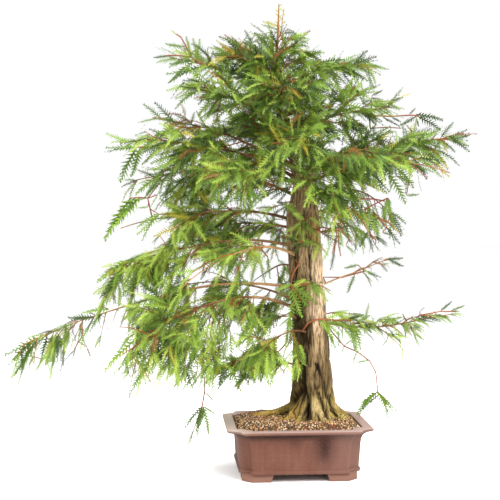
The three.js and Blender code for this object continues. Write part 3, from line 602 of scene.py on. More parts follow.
# Single sprays: depth of root and tip, and for each one root and tip seen from the front, its kind, and its shade
# from 0 for the brightest, which is partly its own tone and partly painted shade where it hangs in shadow.
loneSprays = [
    (-26, -26, [
        (262, 259, 182, 208, 3, 0.5), (265, 248, 212, 211, 1, 0.85), (267, 258, 326, 184, 4, 0.1),
    ]),
    (-24, -22, [(269, 256, 332, 192, 4, 0.1)]),
    (-28, -28, [(266, 256, 317, 178, 3, 0.2)]),
    (-24, -24, [(261, 257, 188, 201, 3, 0.6)]),
    (-26, -26, [
        (255, 326, 276, 338, 3, 0.5), (154, 409, 144, 384, 3, 0.5), (232, 362, 194, 356, 5, 0.6),
        (157, 412, 182, 432, 3, 0.6), (219, 376, 236, 360, 3, 0.5), (196, 390, 176, 352, 3, 0.6),
    ]),
    (-55, -55, [(-304, 225, -362, 166, 7, 0.85)]),
    (-53, -55, [(-304, 222, -334, 142, 3, 0.85)]),
    (-53, -58, [(-304, 222, -328, 150, 7, 0.9)]),
    (-55, -55, [
        (-331, 150, -352, 98, 6, 0.9), (-300, 222, -300, 150, 6, 0.85), (-299, 222, -276, 136, 7, 0.5),
        (-300, 224, -254, 198, 3, 0.6), (-293, 268, -262, 240, 3, 0.6),
    ]),
    (-10, -12, [(-500, 886, -588, 798, 1, 0.6), (-528, 884, -618, 762, 7, 0.75)]),
    (-14, -16, [(-516, 884, -574, 800, 5, 0.85)]),
    (-8, -12, [(-480, 884, -548, 872, 4, 0.55)]),
    (-10, -12, [(-514, 1046, -606, 1036, 2, 0.6)]),
    (-12, -14, [(-510, 1044, -566, 940, 1, 0.6), (-498, 1042, -523, 955, 5, 0.7)]),
    (2, 2, [
        (-333, 1324, -401, 1308, 5, 0.8), (-330, 1317, -406, 1260, 7, 0.7), (-307, 1302, -417, 1270, 6, 0.85),
        (-340, 1350, -349, 1396, 0, 0.8), (-318, 1312, -311, 1388, 0, 0.7), (-362, 1366, -415, 1372, 5, 0.75),
        (-381, 1339, -431, 1361, 4, 0.75), (-412, 1337, -453, 1329, 5, 0.9), (-380, 1402, -399, 1418, 1, 0.8),
        (-276, 1299, -288, 1362, 2, 0.75),
    ]),
    (30, 30, [
        (399, 1159, 491, 1150, 7, 0.92), (408, 1151, 485, 1116, 1, 0.85), (376, 1159, 397, 1179, 5, 0.92),
        (396, 1151, 348, 1123, 5, 0.9), (399, 1148, 408, 1120, 5, 0.9), (291, 1147, 348, 1121, 4, 0.9),
        (286, 1160, 310, 1168, 5, 0.92), (319, 1149, 348, 1135, 5, 0.92),
    ]),
    (38, 38, [
        (485, 1087, 522, 1134, 0, 0.8), (509, 1082, 579, 1111, 6, 0.92), (528, 1081, 581, 1093, 5, 0.9),
        (516, 1077, 583, 1055, 6, 0.92), (490, 1071, 508, 1035, 6, 0.92), (496, 1068, 535, 1040, 1, 0.8),
        (458, 1043, 516, 987, 7, 0.85), (462, 1008, 516, 953, 6, 0.9), (385, 1027, 446, 957, 7, 0.85),
    ]),
    (24, 24, [
        (249, 1210, 290, 1206, 6, 0.92), (252, 1199, 296, 1200, 6, 0.92), (249, 1193, 315, 1182, 6, 0.92),
        (252, 1187, 324, 1178, 6, 0.92), (252, 1219, 286, 1235, 5, 0.9),
    ]),
    (-30, -30, [
        (298, 961, 361, 874, 1, 0.45), (323, 955, 383, 932, 6, 0.6), (292, 885, 308, 817, 0, 0.4),
        (290, 879, 290, 826, 4, 0.5), (355, 894, 395, 896, 5, 0.8),
    ]),
    (14, 14, [
        (302, 688, 353, 689, 5, 0.8), (307, 686, 354, 663, 5, 0.85), (205, 669, 162, 658, 5, 0.8),
        (194, 634, 168, 581, 0, 0.6), (232, 649, 285, 624, 6, 0.7),
    ]),
    (-40, -40, [(177, 485, 200, 393, 0, 0.5)]),
    (-42, -42, [(172, 482, 182, 395, 2, 0.55)]),
    (-36, -36, [(184, 484, 214, 400, 1, 0.45)]),
    (-30, -30, [(101, 470, 120, 402, 2, 0.6)]),
    (-34, -34, [(115, 515, 164, 526, 0, 0.5)]),
    (-50, -50, [
        (276, 488, 332, 504, 0, 0.6), (250, 479, 284, 445, 4, 0.9), (291, 434, 273, 408, 2, 0.7),
    ]),
    (-56, -56, [
        (342, 482, 357, 453, 0, 0.2), (338, 515, 346, 493, 2, 0.2), (353, 486, 405, 476, 1, 0.3),
        (368, 460, 407, 430, 5, 0.5), (375, 449, 398, 402, 6, 0.6),
    ]),
    (-62, -62, [
        (393, 523, 409, 536, 2, 0.8), (396, 508, 453, 493, 1, 0.7), (460, 525, 497, 552, 5, 0.85),
        (497, 526, 538, 539, 5, 0.85), (497, 524, 522, 520, 5, 0.8),
    ]),
    (-80, -80, [
        (-379, 348, -384, 286, 0, 0.35), (-321, 336, -367, 290, 1, 0.55), (-278, 325, -308, 281, 2, 0.5),
    ]),
    (-76, -76, [
        (-236, 368, -257, 288, 1, 0.6), (-215, 355, -181, 279, 0, 0.3), (-202, 368, -152, 291, 4, 0.35),
    ]),
    (-60, -60, [(-108, 356, -108, 297, 1, 0.6)]),
    (-80, -80, [(-421, 396, -446, 321, 0, 0.5)]),
    (-70, -70, [
        (-454, 399, -509, 307, 1, 0.45), (-496, 429, -542, 333, 4, 0.4), (-517, 438, -613, 355, 7, 0.35),
    ]),
    (-76, -76, [(-404, 378, -366, 357, 5, 0.3)]),
    (-20, -20, [(-539, 687, -636, 630, 7, 0.6), (-543, 687, -611, 586, 0, 0.85)]),
    (-24, -24, [(-513, 683, -556, 586, 1, 0.4)]),
    (-20, -20, [(-577, 603, -594, 552, 6, 0.7)]),
    (-80, -80, [(-402, 383, -374, 301, 2, 0.4), (-296, 350, -343, 294, 0, 0.45)]),
    (-78, -78, [(-261, 375, -286, 293, 4, 0.4)]),
    (-70, -70, [(-166, 373, -134, 303, 0, 0.35)]),
    (-30, -30, [
        (-814, 447, -920, 388, 6, 0.7), (-828, 441, -892, 381, 1, 0.75), (-822, 437, -863, 375, 1, 0.7),
        (-860, 378, -899, 320, 5, 0.6), (-832, 422, -886, 357, 6, 0.7), (-791, 448, -813, 371, 0, 0.75),
        (-804, 377, -835, 331, 6, 0.6), (-774, 453, -798, 363, 0, 0.3), (-754, 453, -776, 374, 1, 0.6),
        (-770, 386, -784, 315, 0, 0.55), (-749, 448, -767, 356, 2, 0.75), (-732, 479, -740, 399, 0, 0.5),
        (-738, 411, -743, 337, 2, 0.8), (-723, 463, -721, 421, 4, 0.4), (-706, 405, -741, 368, 4, 0.85),
        (-644, 509, -721, 506, 5, 0.92), (-638, 514, -666, 529, 6, 0.9), (-597, 533, -679, 530, 7, 0.35),
        (-679, 476, -682, 443, 5, 0.9), (-702, 417, -710, 376, 2, 0.85), (-682, 446, -666, 411, 6, 0.8),
        (-666, 414, -653, 374, 2, 0.8), (-625, 515, -650, 487, 6, 0.7), (129, 769, 118, 706, 2, 0.85),
        (120, 712, 112, 654, 2, 0.9), (138, 781, 151, 732, 0, 0.1), (145, 787, 173, 775, 5, 0.4),
        (151, 779, 178, 757, 5, 0.3), (167, 755, 180, 732, 2, 0.7), (159, 734, 192, 704, 6, 0.5),
        (229, 777, 204, 731, 5, 0.75), (180, 744, 199, 716, 4, 0.7), (179, 845, 230, 808, 0, 0.15),
        (217, 818, 269, 779, 1, 0.15), (198, 836, 260, 824, 7, 0.3), (219, 828, 238, 775, 4, 0.8),
        (235, 773, 254, 736, 4, 0.85), (254, 763, 294, 741, 1, 0.8), (256, 759, 292, 728, 2, 0.8),
        (235, 757, 248, 708, 6, 0.8), (254, 734, 269, 714, 6, 0.8), (291, 791, 337, 734, 6, 0.75),
        (299, 879, 304, 827, 0, 0.4), (304, 834, 319, 783, 1, 0.5), (289, 875, 287, 826, 4, 0.5),
        (271, 816, 287, 791, 0, 0.92), (277, 775, 302, 767, 5, 0.85), (308, 795, 334, 773, 6, 0.8),
        (74, 828, 112, 800, 0, 0.4),
    ]),
    (-10, -10, [
        (-426, 964, -515, 904, 7, 0.35), (-394, 1107, -473, 1068, 1, 0.5), (-381, 1112, -425, 1121, 6, 0.9),
        (-431, 1040, -494, 996, 7, 0.85), (-405, 1035, -447, 1016, 2, 0.4), (-442, 835, -510, 797, 7, 0.5),
        (-439, 832, -508, 764, 6, 0.6), (-413, 829, -445, 806, 2, 0.5), (-437, 766, -461, 740, 6, 0.85),
        (-434, 935, -489, 888, 7, 0.5), (-442, 895, -468, 853, 4, 0.4), (-474, 856, -502, 853, 5, 0.9),
    ]),
    (-62, -62, [
        (-22, 612, 35, 574, 0, 0.25), (-16, 609, 77, 538, 1, 0.35), (-19, 599, 45, 532, 1, 0.3),
        (-22, 593, 16, 510, 0, 0.3), (-22, 612, -67, 593, 5, 0.35), (-19, 552, -32, 466, 0, 0.25),
    ]),
    (-58, -58, [(-25, 504, -15, 421, 1, 0.3), (-19, 469, -6, 405, 2, 0.35)]),
    (-46, -46, [
        (92, 499, 156, 521, 0, 0.35), (92, 495, 153, 479, 1, 0.4), (89, 492, 137, 450, 0, 0.4),
        (95, 483, 118, 402, 2, 0.55),
    ]),
    (-50, -50, [(72, 499, 114, 444, 0, 0.3)]),
    (-46, -46, [(131, 495, 176, 514, 0, 0.4), (124, 492, 170, 466, 1, 0.4)]),
    (-62, -62, [(-3, 755, 41, 742, 5, 0.4), (16, 751, 80, 735, 1, 0.3)]),
    (-58, -58, [(38, 824, 83, 796, 0, 0.35)]),
    (-20, -20, [
        (-27, 609, -66, 587, 5, 0.4), (-43, 590, -63, 549, 2, 0.5), (-17, 503, -56, 478, 1, 0.25),
        (-21, 494, -40, 417, 0, 0.25), (-17, 462, -24, 404, 2, 0.3), (-59, 391, -20, 342, 1, 0.35),
        (-85, 398, -46, 359, 1, 0.4), (-111, 414, -66, 391, 5, 0.4),
    ]),
    (-30, -30, [
        (-150, 467, -195, 426, 0, 0.2), (-163, 467, -189, 416, 1, 0.3), (-131, 447, -112, 399, 1, 0.3),
        (-144, 470, -157, 412, 0, 0.25),
    ]),
    (-10, -10, [
        (-270, 680, -309, 629, 1, 0.8), (-293, 687, -299, 639, 2, 0.85), (-142, 693, -181, 638, 1, 0.7),
        (-129, 680, -149, 616, 0, 0.7), (-113, 677, -104, 612, 2, 0.75), (-91, 696, -84, 622, 6, 0.7),
    ]),
    (-40, -40, [(-211, 701, -180, 650, 4, 0.97)]),
    (-10, -10, [
        (-26, 917, -84, 885, 1, 0.5), (-46, 917, -110, 891, 7, 0.6), (-20, 917, -59, 866, 2, 0.6),
        (-81, 911, -129, 872, 1, 0.5),
    ]),
]
extraTwigs = [  # limb, where on it, direction, pitch, length: twigs that the rule leaves out
    ("high_right", 0.45, 330, -60, 100), ("far_right", 0.3, 330, 50, 90), ("low_left", 0.72, 190, 40, 120),
    ("low_left", 0.82, 195, 30, 110), ("low_left", 0.66, 185, 45, 110), ("low_left", 0.3, 250, -60, 110),
    ("front_low_left", 0.7, 200, 30, 90), ("high_left", 0.5, 215, -70, 90), ("low_right", 0.08, 350, 10, 70),
    ("drooping_right", 0.35, 330, -76, 100), ("front_right_mid", 0.6, 320, -62, 110),
    ("low_right", 0.14, 358, 28, 80), ("low_left", 0.5, 240, -62, 170), ("low_left", 0.42, 228, -66, 170),
    ("low_left", 0.58, 222, -70, 180), ("low_left", 0.36, 214, -58, 150), ("low_left", 0.9, 205, -24, 120),
    ("low_left", 0.86, 186, -74, 150), ("low_left", 0.78, 230, -66, 150), ("mid_left", 0.84, 190, -52, 130),
    ("mid_left", 0.72, 215, -50, 130), ("upper_mid_left", 0.6, 179, 24, 180), ("upper_mid_left", 0.7, 200, 8, 110),
    ("far_right", 0.62, 6, 6, 130), ("far_right", 0.5, 350, -4, 130), ("inner_left", 0.25, 200, -46, 110),
    ("inner_left", 0.4, 215, -50, 120),
]
trunkShootForm = {"clearance": 12, "stub": (0.8, 1.3), "radius": 2, "sag": 0.3}
trunkShoots = [  # short shoots on the trunk: height, direction, pitch, length
    (505, 186, 0, 110), (522, 202, -6, 105), (488, 176, -14, 100), (530, 168, 10, 100), (500, 352, 12, 70),
    (484, 340, -52, 75), (735, 255, 5, 70), (752, 290, -5, 75), (840, 225, 15, 105), (856, 300, 20, 95),
    (885, 262, 42, 110), (800, 308, -15, 70), (652, 228, 30, 80), (905, 285, 10, 100), (828, 262, -10, 80),
    (872, 206, 0, 110), (790, 160, 5, 100), (760, 196, 0, 90), (820, 60, 10, 90), (700, 95, 0, 80),
]


# Places that are thinly leaved, seen from the front: x, height, half width, half height, share kept.
openings = [
    (-409, 1417, 78, 58, 0.3), (-419, 1244, 52, 98, 0.3), (52, 1430, 46, 32, 0.3), (-482, 1107, 46, 46, 0.25),
    (-499, 980, 58, 58, 0.35), (-515, 789, 110, 84, 0.1), (-595, 470, 52, 49, 0.15), (389, 938, 117, 84, 0.25),
    (229, 646, 58, 65, 0.45), (163, 782, 49, 58, 0.3), (118, 604, 40, 50, 0.1), (-83, 585, 52, 40, 0.25),
    (342, 388, 104, 48, 0.25), (-212, 1070, 42, 32, 0.3), (86, 1368, 56, 34, 0.3), (-90, 911, 36, 39, 0.3),
    (-347, 655, 32, 29, 0.3), (-83, 628, 46, 52, 0.35), (248, 863, 46, 52, 0.45), (-304, 651, 60, 50, 0.05),
    (-137, 647, 62, 29, 0.1), (-124, 584, 72, 34, 0.06), (-314, 550, 32, 54, 0.12), (-229, 493, 44, 30, 0.12),
    (-47, 460, 34, 52, 0.1), (-184, 695, 22, 26, 0.15), (-105, 748, 38, 26, 0.12), (-54, 650, 36, 50, 0.06),
    (-495, 302, 62, 44, 0.2), (-112, 300, 100, 30, 0.15), (-285, 484, 45, 19, 0.35), (-426, 1034, 32, 19, 0.35),
    (-388, 965, 29, 22, 0.3), (-197, 1076, 38, 29, 0.25), (-130, 1057, 29, 26, 0.25), (-316, 1128, 29, 22, 0.3),
    (150, 1036, 29, 26, 0.3), (127, 957, 26, 26, 0.35), (230, 894, 45, 29, 0.25), (311, 853, 45, 32, 0.2),
    (102, 808, 29, 19, 0.3), (-636, 621, 38, 51, 0.2), (-599, 1049, 38, 29, 0.1), (-546, 919, 45, 29, 0.3),
    (-585, 799, 26, 48, 0.3), (-41, 320, 29, 32, 0.15), (-54, 424, 26, 19, 0.1), (438, 941, 70, 29, 0.2),
    (52, 1404, 32, 26, 0.2), (247, 1330, 38, 16, 0.35), (160, 808, 35, 35, 0.35), (527, 498, 35, 19, 0.2),
    (-866, 415, 45, 29, 0.2),
]


windows = {"size": 33, "depth": 0.2, "from": 0.2, "to": 0.42, "kept": 0.25}  # small gaps between tufts


def keptAt(point):
    gap = noise.noise(Vector((point.x, windows["depth"] * point.y, point.z)) / windows["size"])
    kept = 1 - (1 - windows["kept"]) * smooth(windows["from"], windows["to"], gap)
    for x, z, halfWidth, halfHeight, share in openings:
        if ((point.x - x) / halfWidth) ** 2 + ((point.z - z) / halfHeight) ** 2 < 1:
            kept = min(kept, share)
    return kept


def findRooms():
    margin = Vector((growth["margin"],) * 3)
    for name in massNames:
        low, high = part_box(name)
        rooms.append(((low - potCentre) / mm - margin, (high - potCentre) / mm + margin))


clearFront = {"below": 545, "left": 0.75, "right": 12}  # no leaves stand before the foot of the trunk


def sprayTurn(heading, tilt):
    across = heading.cross(up)
    across = across.normalized() if across.length > 0.05 else Vector((1, 0, 0))
    normal = across.cross(heading)
    normal.rotate(Matrix.Rotation(tilt, 3, heading))
    return Matrix((heading, normal.cross(heading), normal)).transposed().to_euler()


def keepsItsRoom(point):
    centre = trunkCentre(max(point.z, groundLevel))
    radius = trunkRadiusAt(point.z)
    times, more = growth["clearance"]
    away = point.x - centre.x
    if math.hypot(away, point.y - centre.y) < radius * times + more:
        return False
    before = -clearFront["left"] * radius < away < radius + clearFront["right"]
    if point.y < 0 and point.z < clearFront["below"] and before:
        return False
    if not foliageHeights["lowest"] < point.z < foliageHeights["highest"]:
        return False
    return any(low.x < point.x < high.x and low.y < point.y < high.y and low.z < point.z < high.z
               for low, high in rooms)


def leanFrom(tangent, side, fork, roll, run):  # a heading that forks from a tangent to one side
    level = tangent.cross(up)
    if level.length < 0.15:
        level = Vector((math.cos(6.3 * run()), math.sin(6.3 * run()), 0))
    level = level.normalized() * side
    level.rotate(Matrix.Rotation(math.radians(roll * (2 * run() - 1)), 3, tangent))
    return (tangent * math.cos(fork) + level * math.sin(fork)).normalized()


def addSpray(limb, root, tangent, side, run, scale):
    fork = side * math.radians(sprayRule["fork"] + sprayRule["forkRange"] * (run() - 0.5))
    heading = leanFrom(tangent, 1, fork, sprayRule["roll"], run)
    most, low, extent = sprayRule["droop"]
    heading = heading - up * (most * droopAt(limb["z"]) * (low + extent * run()))
    outward = Vector((root.x - trunkCentre(root.z).x, root.y, 0)).normalized()
    heading = (heading + outward * (sprayRule["outward"] * droopAt(limb["z"]))).normalized()
    length = sprayRule["length"] * scale * (1.2 - sprayRule["range"] * run())
    tip = root + heading * length
    if not keepsItsRoom(tip) or run() > keptAt(root.lerp(tip, 0.6)):
        return
    tilt = lerp(*sprayRule["tilt"], min(1, droopAt(limb["z"]) + 0.35)) * (2 * run() - 1)
    sprays.append((root, sprayTurn(heading, tilt), length, run(), int(run() * kindCount) % kindCount))


def growTwig(limb, origin, heading, length, level, run, sag=None):
    if sag is None:
        sag = growth["sag"] * (growth["leastSag"] + droopAt(limb["z"]))
    steps = max(2, round(length / growth["stepLength"]))
    points = twigPoints(origin, heading, length, sag, steps)
    kept = 1
    while kept <= steps and keepsItsRoom(points[kept]):
        kept += 1
    if kept < 3:
        return
    points = points[:kept]
    if level == 0 and keptAt(points[kept // 2]) < growth["barest"]:
        return
    length *= (kept - 1) / steps
    twigLines.append((points, *growth["radii"][level]))
    size = limb["look"]["sprays"]

    def along(share):
        at = share * (kept - 1)
        i = min(int(at), kept - 2)
        return points[i].lerp(points[i + 1], at - i), (points[i + 1] - points[i]).normalized()

    count = max(2, round(length / sprayRule["gap"]))
    for k in range(count):
        addSpray(limb, *along((k + 0.8) / (count + 0.4)), 1 if k % 2 else -1, run, size)
    addSpray(limb, *along(1), 0.25, run, size)
    if level:
        return
    fines = round(length * 0.8 / growth["fineGap"])
    nearest, span = growth["fineSpan"]
    for k in range(fines):
        share = nearest + span * (k + 0.5) / fines
        root, tangent = along(share)
        fineLength = growth["fineShare"] * length * (1.1 - share) * (0.7 + 0.6 * run())
        if fineLength < growth["fineShortest"]:
            continue
        fork = math.radians(lerp(*growth["fork"], run()))
        fine = leanFrom(tangent, -1 if k % 2 else 1, fork, growth["roll"] * growth["fineRoll"], run)
        fine = (fine - up * growth["fineDroop"] * droopAt(limb["z"]) * run()).normalized()
        if run() > keptAt(root + fine * fineLength * 0.5):
            continue
        growTwig(limb, root, fine, fineLength, 1, run)


def growLimb(limb, order):
    run = seededRun(order + 1)
    share, above = growth["inner"]
    look = limb["look"] = plainLook | looks.get(limb["name"], {})
    start = look["bare"] or limb["bare"] * (share if limb["z"] > above else 1)
    end = limbEnd(limb)
    thinFrom, thinTo = look["thin"]
    leafy = limb["reach"] * (end - start)
    count = max(3, round(leafy / growth["twigGap"] * look["twigs"]))
    for i in range(count):
        u = (i + 0.5) / count
        t = lerp(start, end, u)
        full = limb["spread"] * (0.5 + 0.6 * math.sin(math.pi * min(1, 0.25 + u)))
        length = full * (growth["longest"] - growth["lengthRange"] * run()) + growth["blade"] * (0.6 + 0.4 * run())
        length *= 1 - (1 - look["tip"]) * smooth(0.4, 1, u)
        if i % 4 > 1:
            length *= growth["short"]
        if t < limb["bare"]:
            length *= growth["innerShort"]
        if thinFrom < t < thinTo:
            if i % 2:
                continue
            length *= growth["short"]
        fork = math.radians(lerp(*growth["fork"], run()))
        heading = leanFrom(limbTangent(limb, t), 1 if i % 2 else -1, fork, growth["roll"], run)
        heading = (heading - up * look["hang"] * (0.4 + run())).normalized()
        growTwig(limb, limbPoint(limb, t), heading, length, 0, run)
    sprayCount = round(leafy / sprayRule["gap"] / sprayRule["limbGap"])
    for k in range(sprayCount):
        t = lerp(start, end, (k + 0.5) / sprayCount)
        addSpray(limb, limbPoint(limb, t), limbTangent(limb, t), 1 if k % 2 else -1, run, look["sprays"])
    for side in (-1, 0, 1):
        addSpray(limb, limbPoint(limb, end), limbTangent(limb, end), 0.7 * side, run, look["sprays"])


def growInnerShoots():  # short shoots that rise from the upper trunk and fill the crown's inside
    run = seededRun(90)
    count = innerShoots["count"]
    for i in range(count):
        u = i / (count - 1)
        z = lerp(*innerShoots["heights"], u)
        heading = direction(innerShoots["turn"] * i, lerp(*innerShoots["pitches"], u))
        length = lerp(*innerShoots["lengths"], u) * (0.75 + 0.5 * run())
        times, more = innerShoots["clearance"]
        origin = trunkCentre(z) + heading * (trunkRadiusAt(z) * times + more)
        twigLines.append(([trunkCentre(z), origin], *innerShoots["radii"]))
        growTwig({"z": z, "look": plainLook}, origin, heading, length, 0, run)


def growBareTwigs():  # leafless twigs round the leader, where the shade has thinned the leaves
    run = seededRun(200)
    count, steps = bareTwigs["count"], bareTwigs["steps"]
    for i in range(count):
        z = lerp(*bareTwigs["heights"], i / count)
        length = lerp(*bareTwigs["lengths"], i / count) * (0.55 + 0.45 * run())
        heading = direction(bareTwigs["turn"] * i, lerp(*bareTwigs["pitches"], run()))
        points = twigPoints(trunkCentre(z), heading, length, 0.2, steps)
        for k in range(1, steps + 1):
            points[k] += Vector((run() - 0.5, run() - 0.5, run() - 0.5)) * bareTwigs["crook"]
        twigLines.append((points, *bareTwigs["radii"]))
        for k in bareTwigs["forksAt"]:
            side = direction(360 * run(), lerp(-20, 60, run()))
            fork = ((points[k] - points[k - 1]).normalized() + side * 0.8).normalized()
            twigLines.append((twigPoints(points[k], fork, length * 0.4, 0, 3), *bareTwigs["forkRadii"]))


def growExtraTwigs():
    run = seededRun(170)
    named = {limb["name"]: limb for limb in limbs}
    for name, t, azimuth, pitch, length in extraTwigs:
        limb = named[name]
        growTwig(limb, limbPoint(limb, t), direction(azimuth, pitch), length, 0, run, growth["extraSag"])


def nearestIn(points):
    tree = kdtree.KDTree(len(points))
    for i, point in enumerate(points):
        tree.insert(point, i)
    tree.balance()
    return lambda point: tree.find(point)[0]


def addLoneShoots():  # each one starts from the nearest wood
    wood = [point for line in twigLines for point in line[0]]
    for limb in limbs:
        wood += [limbPoint(limb, limbEnd(limb) * i / 80) for i in range(81)]
    nearest = nearestIn(wood)
    for line in loneTwigs:
        points = [Vector(point) for point in line]
        points.insert(0, nearest(points[0]))
        twigLines.append((points, *loneForm["twig"]))
        for a, b in zip(points, points[1:]):
            wood += [a.lerp(b, i / 10) for i in range(11)]
    nearest = nearestIn(wood)
    for rootDepth, tipDepth, group in loneSprays:
        for rootX, rootZ, tipX, tipZ, kind, shade in group:
            root = Vector((rootX, rootDepth, rootZ))
            reach = Vector((tipX, tipDepth, tipZ)) - root
            foot = nearest(root)
            if (root - foot).length > loneForm["shortest"]:
                twigLines.append(([foot, root], *loneForm["stalk"]))
            for tilt, scale, further in loneForm["blades"]:
                turn = sprayTurn(reach.normalized(), tilt)
                sprays.append((root, turn, reach.length * scale, shade, (kind + further) % kindCount))


def growTrunkShoots():
    run = seededRun(140)
    form = trunkShootForm
    for z, azimuth, pitch, length in trunkShoots:
        heading = direction(azimuth, pitch)
        radius = trunkRadiusAt(z)
        origin = trunkCentre(z) + heading * (radius + form["clearance"])
        growTwig({"z": z, "look": plainLook}, origin, heading, length, 0, run, form["sag"])
        stub = [trunkCentre(z) + heading * radius * s for s in form["stub"]]
        twigLines.append((stub, form["radius"], form["radius"]))


# Limbs and twigs as tubes along lines.

def makeTubeTree():
    sockets = [("Sides", "Int", 6), ("Relief", "Float", 0.0), ("Grain", "Float", 100.0),
               ("Material", "Material", None)]
    tree, given = newTree("tubes along lines", sockets)
    line = addNode(tree, "GeometryNodeMeshToCurve", {"Mesh": given["Geometry"]}).outputs[0]
    ring = addNode(tree, "GeometryNodeCurvePrimitiveCircle", {"Resolution": given["Sides"], "Radius": 1.0}).outputs[0]
    form = {"Curve": line, "Profile Curve": ring, "Scale": fieldOf(tree, "thickness"), "Fill Caps": True}
    tube = addNode(tree, "GeometryNodeCurveToMesh", form).outputs[0]
    pattern = addNode(tree, "ShaderNodeTexNoise", {"Scale": given["Grain"], "Detail": 2.0}).outputs["Fac"]
    amount = combine(tree, "MULTIPLY", combine(tree, "SUBTRACT", pattern, 0.5), given["Relief"])
    normal = addNode(tree, "GeometryNodeInputNormal").outputs[0]
    offset = addNode(tree, "ShaderNodeVectorMath", {0: normal, "Scale": amount}, operation="SCALE").outputs[0]
    moved = addNode(tree, "GeometryNodeSetPosition", {"Geometry": tube, "Offset": offset}).outputs[0]
    endTree(tree, moved, given["Material"])
    return tree


def lineObject(name, lines):  # lines are (points, radii, paleness) in millimetres
    points, edges, radii, pales = [], [], [], []
    for line, thickness, *pale in lines:
        for i, point in enumerate(line):
            if i:
                edges.append((len(points) - 1, len(points)))
            points.append(place(point))
            radii.append(thickness[i] * mm)
            pales.append(pale[0] if pale else 0)
    source = newObject(name, meshFrom(name, points, [], edges))
    giveField(source.data, "thickness", radii)
    giveField(source.data, "pale", pales)
    return source


def growTubes(name, lines, tree, sides, relief, grain, material):
    source = lineObject(name + " lines", lines)
    mesh = growTree(source, tree, name, Sides=sides, Relief=relief * mm, Grain=grain, Material=material)
    mesh.shade_smooth()
    discard(source)
    return mesh


boughSettings = {"collar": 1.5, "collarLength": 18, "collarFrom": 0.8, "slender": 0.72}
tubeForms = {  # sides, relief and grain
    "boughs": (9, 1.2, 90),
    "leader": (12, 1.6, 90),
    "apex_shoots": (6, 0.3, 200),
    "apex_buds": (5, 0.3, 200),
    "twigs": (4, 0, 90),
    "fine_twigs": (3, 0, 90),
}
paleBoughs = {  # how far a bough's bark has turned pale
    "front_left_mid": 0.9, "far_left": 0.9, "mid_left": 0.3, "mid_right": 0.6, "low_left": 0.15, "inner_left": 0.25,
    "low_right": 0.3,
}


def limbLine(limb):
    steps = max(8, round(limb["reach"] / growth["limbStep"]))
    start = trunkRadiusAt(limb["z"]) * boughSettings["collarFrom"]
    points, radii = [], []
    for i in range(steps + 1):
        t = i / steps * limbEnd(limb)
        point = limbPoint(limb, t)
        past = max(0, math.hypot(limb["reach"], limb["rise"]) * t - start) / boughSettings["collarLength"]
        swell = 1 + (boughSettings["collar"] - 1) * math.exp(-past)
        points.append(point)
        radii.append(limbRadius(limb, t) * boughSettings["slender"] * swell)
    return points, radii, paleBoughs.get(limb["name"], 0)


def woodMaterial(name, old, young, roughness):
    material, tree, shader = newMaterial(name, old, roughness, 0.15)
    patches = spread(tree, objectNoise(tree, 9, detail=4), 0.42, 0.8)
    fine = objectNoise(tree, 420, detail=2)
    share = combine(tree, "ADD", patches, shareOf(tree, "pale"), use_clamp=True)
    colour = layered(tree, old, [(share, young), (spread(tree, fine, 0.52, 0.34), darker(old, 0.45))])
    finishSurface(tree, shader, colour, fine, 0.5, 0.001)
    return material


# Sprays of needles.

sprayForm = {
    "needleGap": 0.1,  # of the spray's length, along one side
    "needleWidth": 0.08,  # where it leaves the stalk
    "angleLow": 66,
    "angleTip": 38,
    "stalk": 0.036,
    "leafy": (0.05, 0.9),  # where the first needle stands, and over how much of the spray they follow
    "lean": 56,
    "tipNeedle": 0.07,
    "lift": 0.03,
    "kinds": (  # how far it curls down, sways and rolls, and half its width
        (0.10, 0.00, 0.35, 0.175), (0.24, 0.05, 0.80, 0.165), (0.04, -0.06, -0.90, 0.190), (0.34, -0.03, 1.25, 0.160),
        (0.16, 0.04, -1.30, 0.185), (0.08, 0.08, 0.60, 0.140), (0.40, -0.05, -0.50, 0.120), (0.24, 0.02, 1.05, 0.130),
    ),
}
kindCount = len(sprayForm["kinds"])


def sprayMesh(name, curl, sway, roll, halfWidth):
    points, faces = [], []

    def bent(x, y, z=0.0):
        y, z = y * math.cos(roll) - z * math.sin(roll), y * math.sin(roll) + z * math.cos(roll)
        return (x - 0.4 * curl * curl * x ** 3, y + sway * x * x, z - curl * x * x)

    stalk = sprayForm["stalk"] / 2
    cuts = (0, 0.35, 0.7, 0.98)
    for x in cuts:
        points += [bent(x, -stalk * (1.2 - x)), bent(x, stalk * (1.2 - x))]
    faces += [(2 * i, 2 * i + 2, 2 * i + 3, 2 * i + 1) for i in range(len(cuts) - 1)]
    firstAt, span = sprayForm["leafy"]
    last = 2 * round(span / sprayForm["needleGap"])
    half = sprayForm["needleWidth"] / 2
    widest = halfWidth / math.sin(math.radians(sprayForm["lean"]))
    for k in range(last + 1):
        side = 0 if k == last else 1 if k % 2 else -1  # the last needle points ahead
        x = firstAt + span * (k / last)
        swell = math.sin(math.pi * min(1, 0.18 + 0.8 * x ** 0.85)) ** 0.6
        angle = math.radians(lerp(sprayForm["angleLow"], sprayForm["angleTip"], x)) * side
        reach = widest * swell * (0.8 + 0.4 * ((k * 7) % 5) / 4) if side else sprayForm["tipNeedle"]
        lift = sprayForm["lift"] * (((k * 5) % 7) / 3 - 1)
        first = len(points)
        points += [bent(x - half, 0), bent(x + half, 0)] if side else [bent(x, -half), bent(x, half)]
        points.append(bent(x + math.cos(angle) * reach, math.sin(angle) * reach, lift))
        faces.append((first, first + 1, first + 2) if side > 0 else (first + 1, first, first + 2))
    return meshFrom(name, points, faces)


